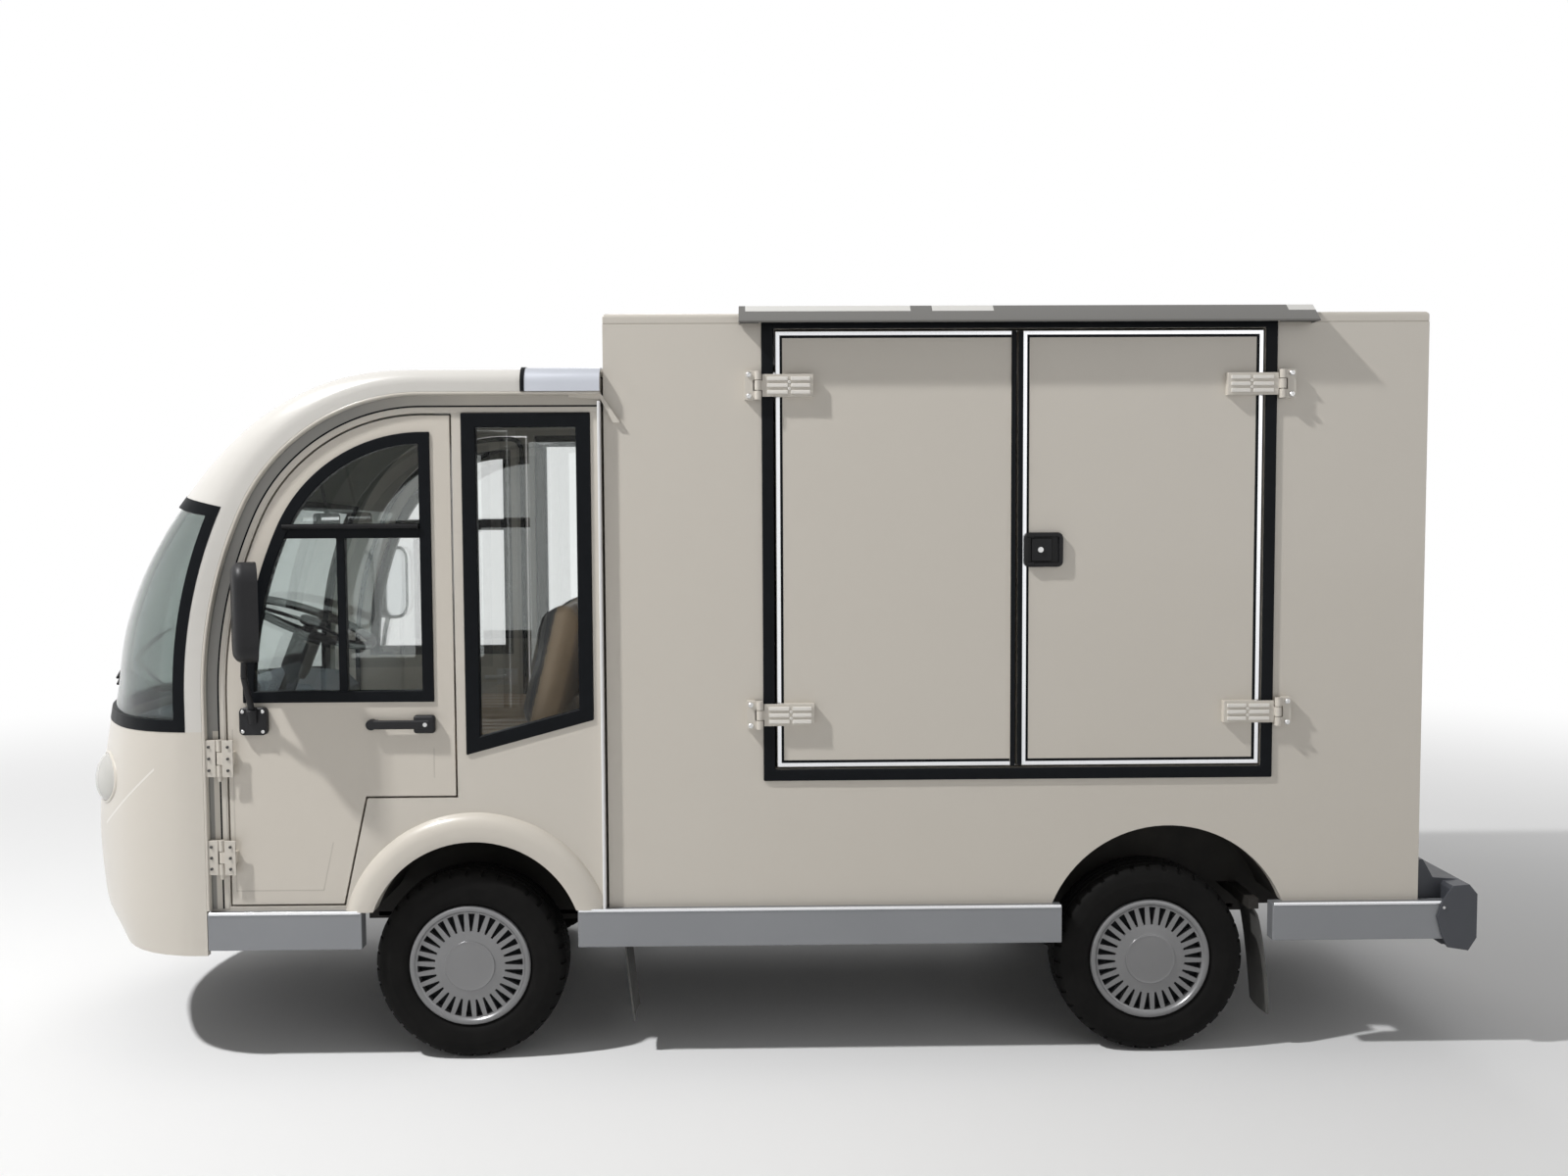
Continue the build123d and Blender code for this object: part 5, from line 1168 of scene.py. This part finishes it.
seams_y, seam_depth, swell = (-0.16, -0.235, -0.31, -0.385, -0.46), 0.007, 0.022
squab = puffed(pad_blank(((-1.070, -0.620), (-1.072, -0.620), 0.802, 0.915)), swell)
stitched(squab, lambda p: (p.y, max(0.0, min(1.0, (p.z - 0.89) / 0.02)), Vector((0, 0, 1))), seams_y, seam_depth)
two_tone(squab, "seat_squabs", "seat_cushions", lambda place, normal: place.z < 0.850)
back_foot_z, back_slope = 0.948, 0.2475
back_pad = puffed(pad_blank(((-0.694, -0.622), (-0.596, -0.530), back_foot_z, 1.345)), swell)
back_tilt = Vector((-1.0, 0, 0.24)).normalized()
stitched(back_pad, lambda p: (p.y, max(0.0, min(1.0, (-0.668 + (p.z - back_foot_z) * back_slope - p.x) / 0.02)),
                              back_tilt), seams_y, seam_depth)
two_tone(back_pad, "seat_back_pads", "seat_backs",
         lambda place, normal: place.x - (place.z - back_foot_z) * back_slope < -0.679)


# Cab interior fittings: a mirror on a stalk from the roof, a rubber seal round each door opening, a latch inside each
# door and a hook between the windows.
mirror_run = next(run for run in shell_runs if shell_point(run, ("crown", 0.0))[1] > -1.480)
roof_x, roof_z = shell_point(mirror_run, ("crown", 0.0))[1:]
stalk = [bar((roof_x, 0.0, roof_z - 0.020), (-1.428, 0.0, 1.640), 0.006),
         bar((-1.434, 0, 1.635), (-1.418, 0, 1.600), 0.009)]
glance = stock((-1.440, -0.115, 1.548), (-1.412, 0.115, 1.612), 0.012, 4)
stepped(glance, (1, 0, 0), (0.004, 0.0), (0.001, -0.003))
foot = stock((roof_x - 0.02, -0.02, roof_z - 0.034), (roof_x + 0.03, 0.02, roof_z - 0.022), 0.004)
settle(joined([glance, foot] + stalk), "cabin_mirror", "chassis", black_plastic)
glance_pane = stock((-1.4148, -0.098, 1.562), (-1.4130, 0.098, 1.598), 0.0006)
settle(glance_pane, "cabin_mirror_pane", "chassis", silvering)
plate = stock((-0.985, -0.644, 0.950), (-0.905, -0.636, 1.010), 0.002)
lever = stock((-1.030, -0.627, 0.972), (-0.950, -0.617, 0.988), 0.004)
post = bar((-0.955, -0.640, 0.980), (-0.955, -0.618, 0.980), 0.008)
pair(joined([plate, lever, post]), "door_inner_latch_left", "cab_door_left", steel)
hook = bar((-0.877, -0.641, 1.794), (-0.877, -0.618, 1.790), 0.010)
both(hook, "coat_hooks", black_plastic)


def tube(points, radius):
    """A round strip laid along a run of points."""
    deselect()
    line = bpy.data.curves.new("strip", "CURVE")
    line.dimensions, line.bevel_depth, line.bevel_resolution, line.use_fill_caps = "3D", radius, 4, True
    spline = line.splines.new("POLY")
    spline.points.add(len(points) - 1)
    for point, place in zip(spline.points, points):
        point.co = (*place, 1.0)
    only(linked("strip", line))
    bpy.ops.object.convert(target="MESH")
    return bpy.context.active_object


seal_y, seal_rear_x, seal_corner = -0.634, -0.876, 0.045
seal_path = [inside_arch(run, 0.072) for run in shell_runs if run > 0.17]
seal_path = [place for place in seal_path if place[0] < seal_rear_x - seal_corner]
corner_z = inside_arch(next(run for run in shell_runs if inside_arch(run, 0.072)[0] > seal_rear_x - 0.02), 0.072)[1]
seal_path += [(seal_rear_x - seal_corner + seal_corner * math.sin(math.radians(turn)),
               corner_z - seal_corner + seal_corner * math.cos(math.radians(turn))) for turn in range(0, 91, 15)]
seal_path += [(seal_rear_x, z) for z in (1.60, 1.30, 1.05, 0.80)]
weather_seal = tube([(x, seal_y, z) for x, z in seal_path], 0.009)
both(weather_seal, "door_weather_seals", rubber, smooth=60.0)


# Windscreen wiper: a pressed steel arm in black on a spindle below the screen, which a nut holds, and its rubber
# blade resting on the glass.
def off_screen(run, y, height):
    """Point a height off the screen, at a distance across."""
    rows = [shell_point(run, ("crown", k / 40)) for k in range(41)]
    across, x, z = min(rows, key=lambda row: abs(row[0] - abs(y)))
    lean = math.radians(eased(run, 1))
    return x - height * math.cos(lean), y, z + height * math.sin(lean)


blade, holder = (tube([off_screen(0.735 + 0.012 * k, -0.300 + 0.044 * k, height) for k in places], radius)
                 for height, places, radius in ((0.000, range(11), 0.004), (0.010, range(1, 10), 0.0045)))
spindle = off_screen(0.672, 0.200, 0.002)
wiper_arm = tube([spindle, off_screen(0.705, 0.110, 0.014), off_screen(0.7875, -0.100, 0.014),
                  off_screen(0.795, -0.080, 0.010)], 0.005)
cap = bar((spindle[0] + 0.010, spindle[1], spindle[2]), (spindle[0] - 0.004, spindle[1], spindle[2] + 0.002), 0.013)
wiper = joined([blade, holder, wiper_arm, cap])
settle(wiper, "windscreen_wiper", "chassis", black_plastic, smooth=50.0)


# Roof cap catches: a dark plastic catch at each front corner of the aluminium cap, screwed to the roof, which holds
# the cap down.
catch = [stock((-0.660, -0.652, 2.010), (-0.612, -0.616, 2.026), 0.004),
         stock((-0.632, -0.646, 2.018), (-0.588, -0.622, 2.030), 0.004)]
both(joined(catch), "roof_cap_catches", bumper_grey)


# The studio: a pale paper floor that fades into a white surround, a key lamp high to the front as the sun stood,
# soft fill lamps, and the camera where the photograph was taken.
floor = drawn(bpy.ops.mesh.primitive_plane_add, size=80.0, location=(0, 0, 0))
floor.name = "studio_floor"
paper = Finish("studio_floor_paper", Roughness=0.9)
paper.mottled((0.80, 0.80, 0.80), (0.82, 0.82, 0.82), 0.7, 2.0)
painted(floor, paper)


def seen_as_backdrop(tree):
    """1 for rays that show the background: the camera's, and those off gloss or through glass."""
    rays = tree.nodes.new("ShaderNodeLightPath")
    seen = Number(tree, rays.outputs["Is Camera Ray"]) + Number(tree, rays.outputs["Is Glossy Ray"])
    return (seen + Number(tree, rays.outputs["Is Transmission Ray"])) > 0.5


glow = paper.node("ShaderNodeEmission", Color=(1, 1, 1, 1), Strength=1.0)
away = paper.node("ShaderNodeVectorMath", {"operation": "LENGTH"}, Vector=paper.place).outputs["Value"]
fade = paper.spread(away, 0.0, 1.0, 2.6, 9.0, "SMOOTHSTEP")
blend_out = paper.node("ShaderNodeMixShader", Fac=fade * seen_as_backdrop(paper.tree))
paper.tree.links.new(paper.shader.outputs[0], blend_out.inputs[1])
paper.tree.links.new(glow.outputs[0], blend_out.inputs[2])
paper.tree.links.new(blend_out.outputs[0], paper.tree.nodes["Material Output"].inputs["Surface"])

world = bpy.data.worlds.new("studio")
bpy.context.scene.world = world
world.use_nodes = True
sky = world.node_tree
fill, white = sky.nodes["Background"], sky.nodes.new("ShaderNodeBackground")
for light, strength in ((fill, 0.28), (white, 1.0)):
    light.inputs["Color"].default_value = (1, 1, 1, 1)
    light.inputs["Strength"].default_value = strength
choice = sky.nodes.new("ShaderNodeMixShader")
sky.links.new(seen_as_backdrop(sky).socket, choice.inputs["Fac"])
sky.links.new(fill.outputs[0], choice.inputs[1])
sky.links.new(white.outputs[0], choice.inputs[2])
sky.links.new(choice.outputs[0], sky.nodes["World Output"].inputs["Surface"])

lamps = {"key": ((-5.3, -2.9, 7.9), 0.35, 750.0), "side": ((4.5, -7.5, 3.5), 5.0, 40.0),
         "back": ((1.0, 6.0, 6.0), 5.0, 140.0)}
for name, (place, size, power) in lamps.items():
    bpy.ops.object.light_add(type="AREA", location=place)
    lamp = bpy.context.active_object
    lamp.name = "studio_" + name
    lamp.data.energy, lamp.data.size = power, size
    lamp.rotation_euler = (Vector((0, 0, 0.9)) - Vector(place)).to_track_quat("-Z", "Y").to_euler()

bpy.ops.object.camera_add(location=(0.030, -4.791, 1.6287), rotation=(math.pi / 2 - 0.058, 0.0052, -0.0161))
camera = bpy.context.active_object
photo_wide, focal_pixels, camera.data.sensor_width = 1600.0, 1449.4, 36.0
camera.data.lens = camera.data.sensor_width * focal_pixels / photo_wide
bpy.context.scene.camera = camera
bpy.context.scene.view_settings.view_transform = "Standard"
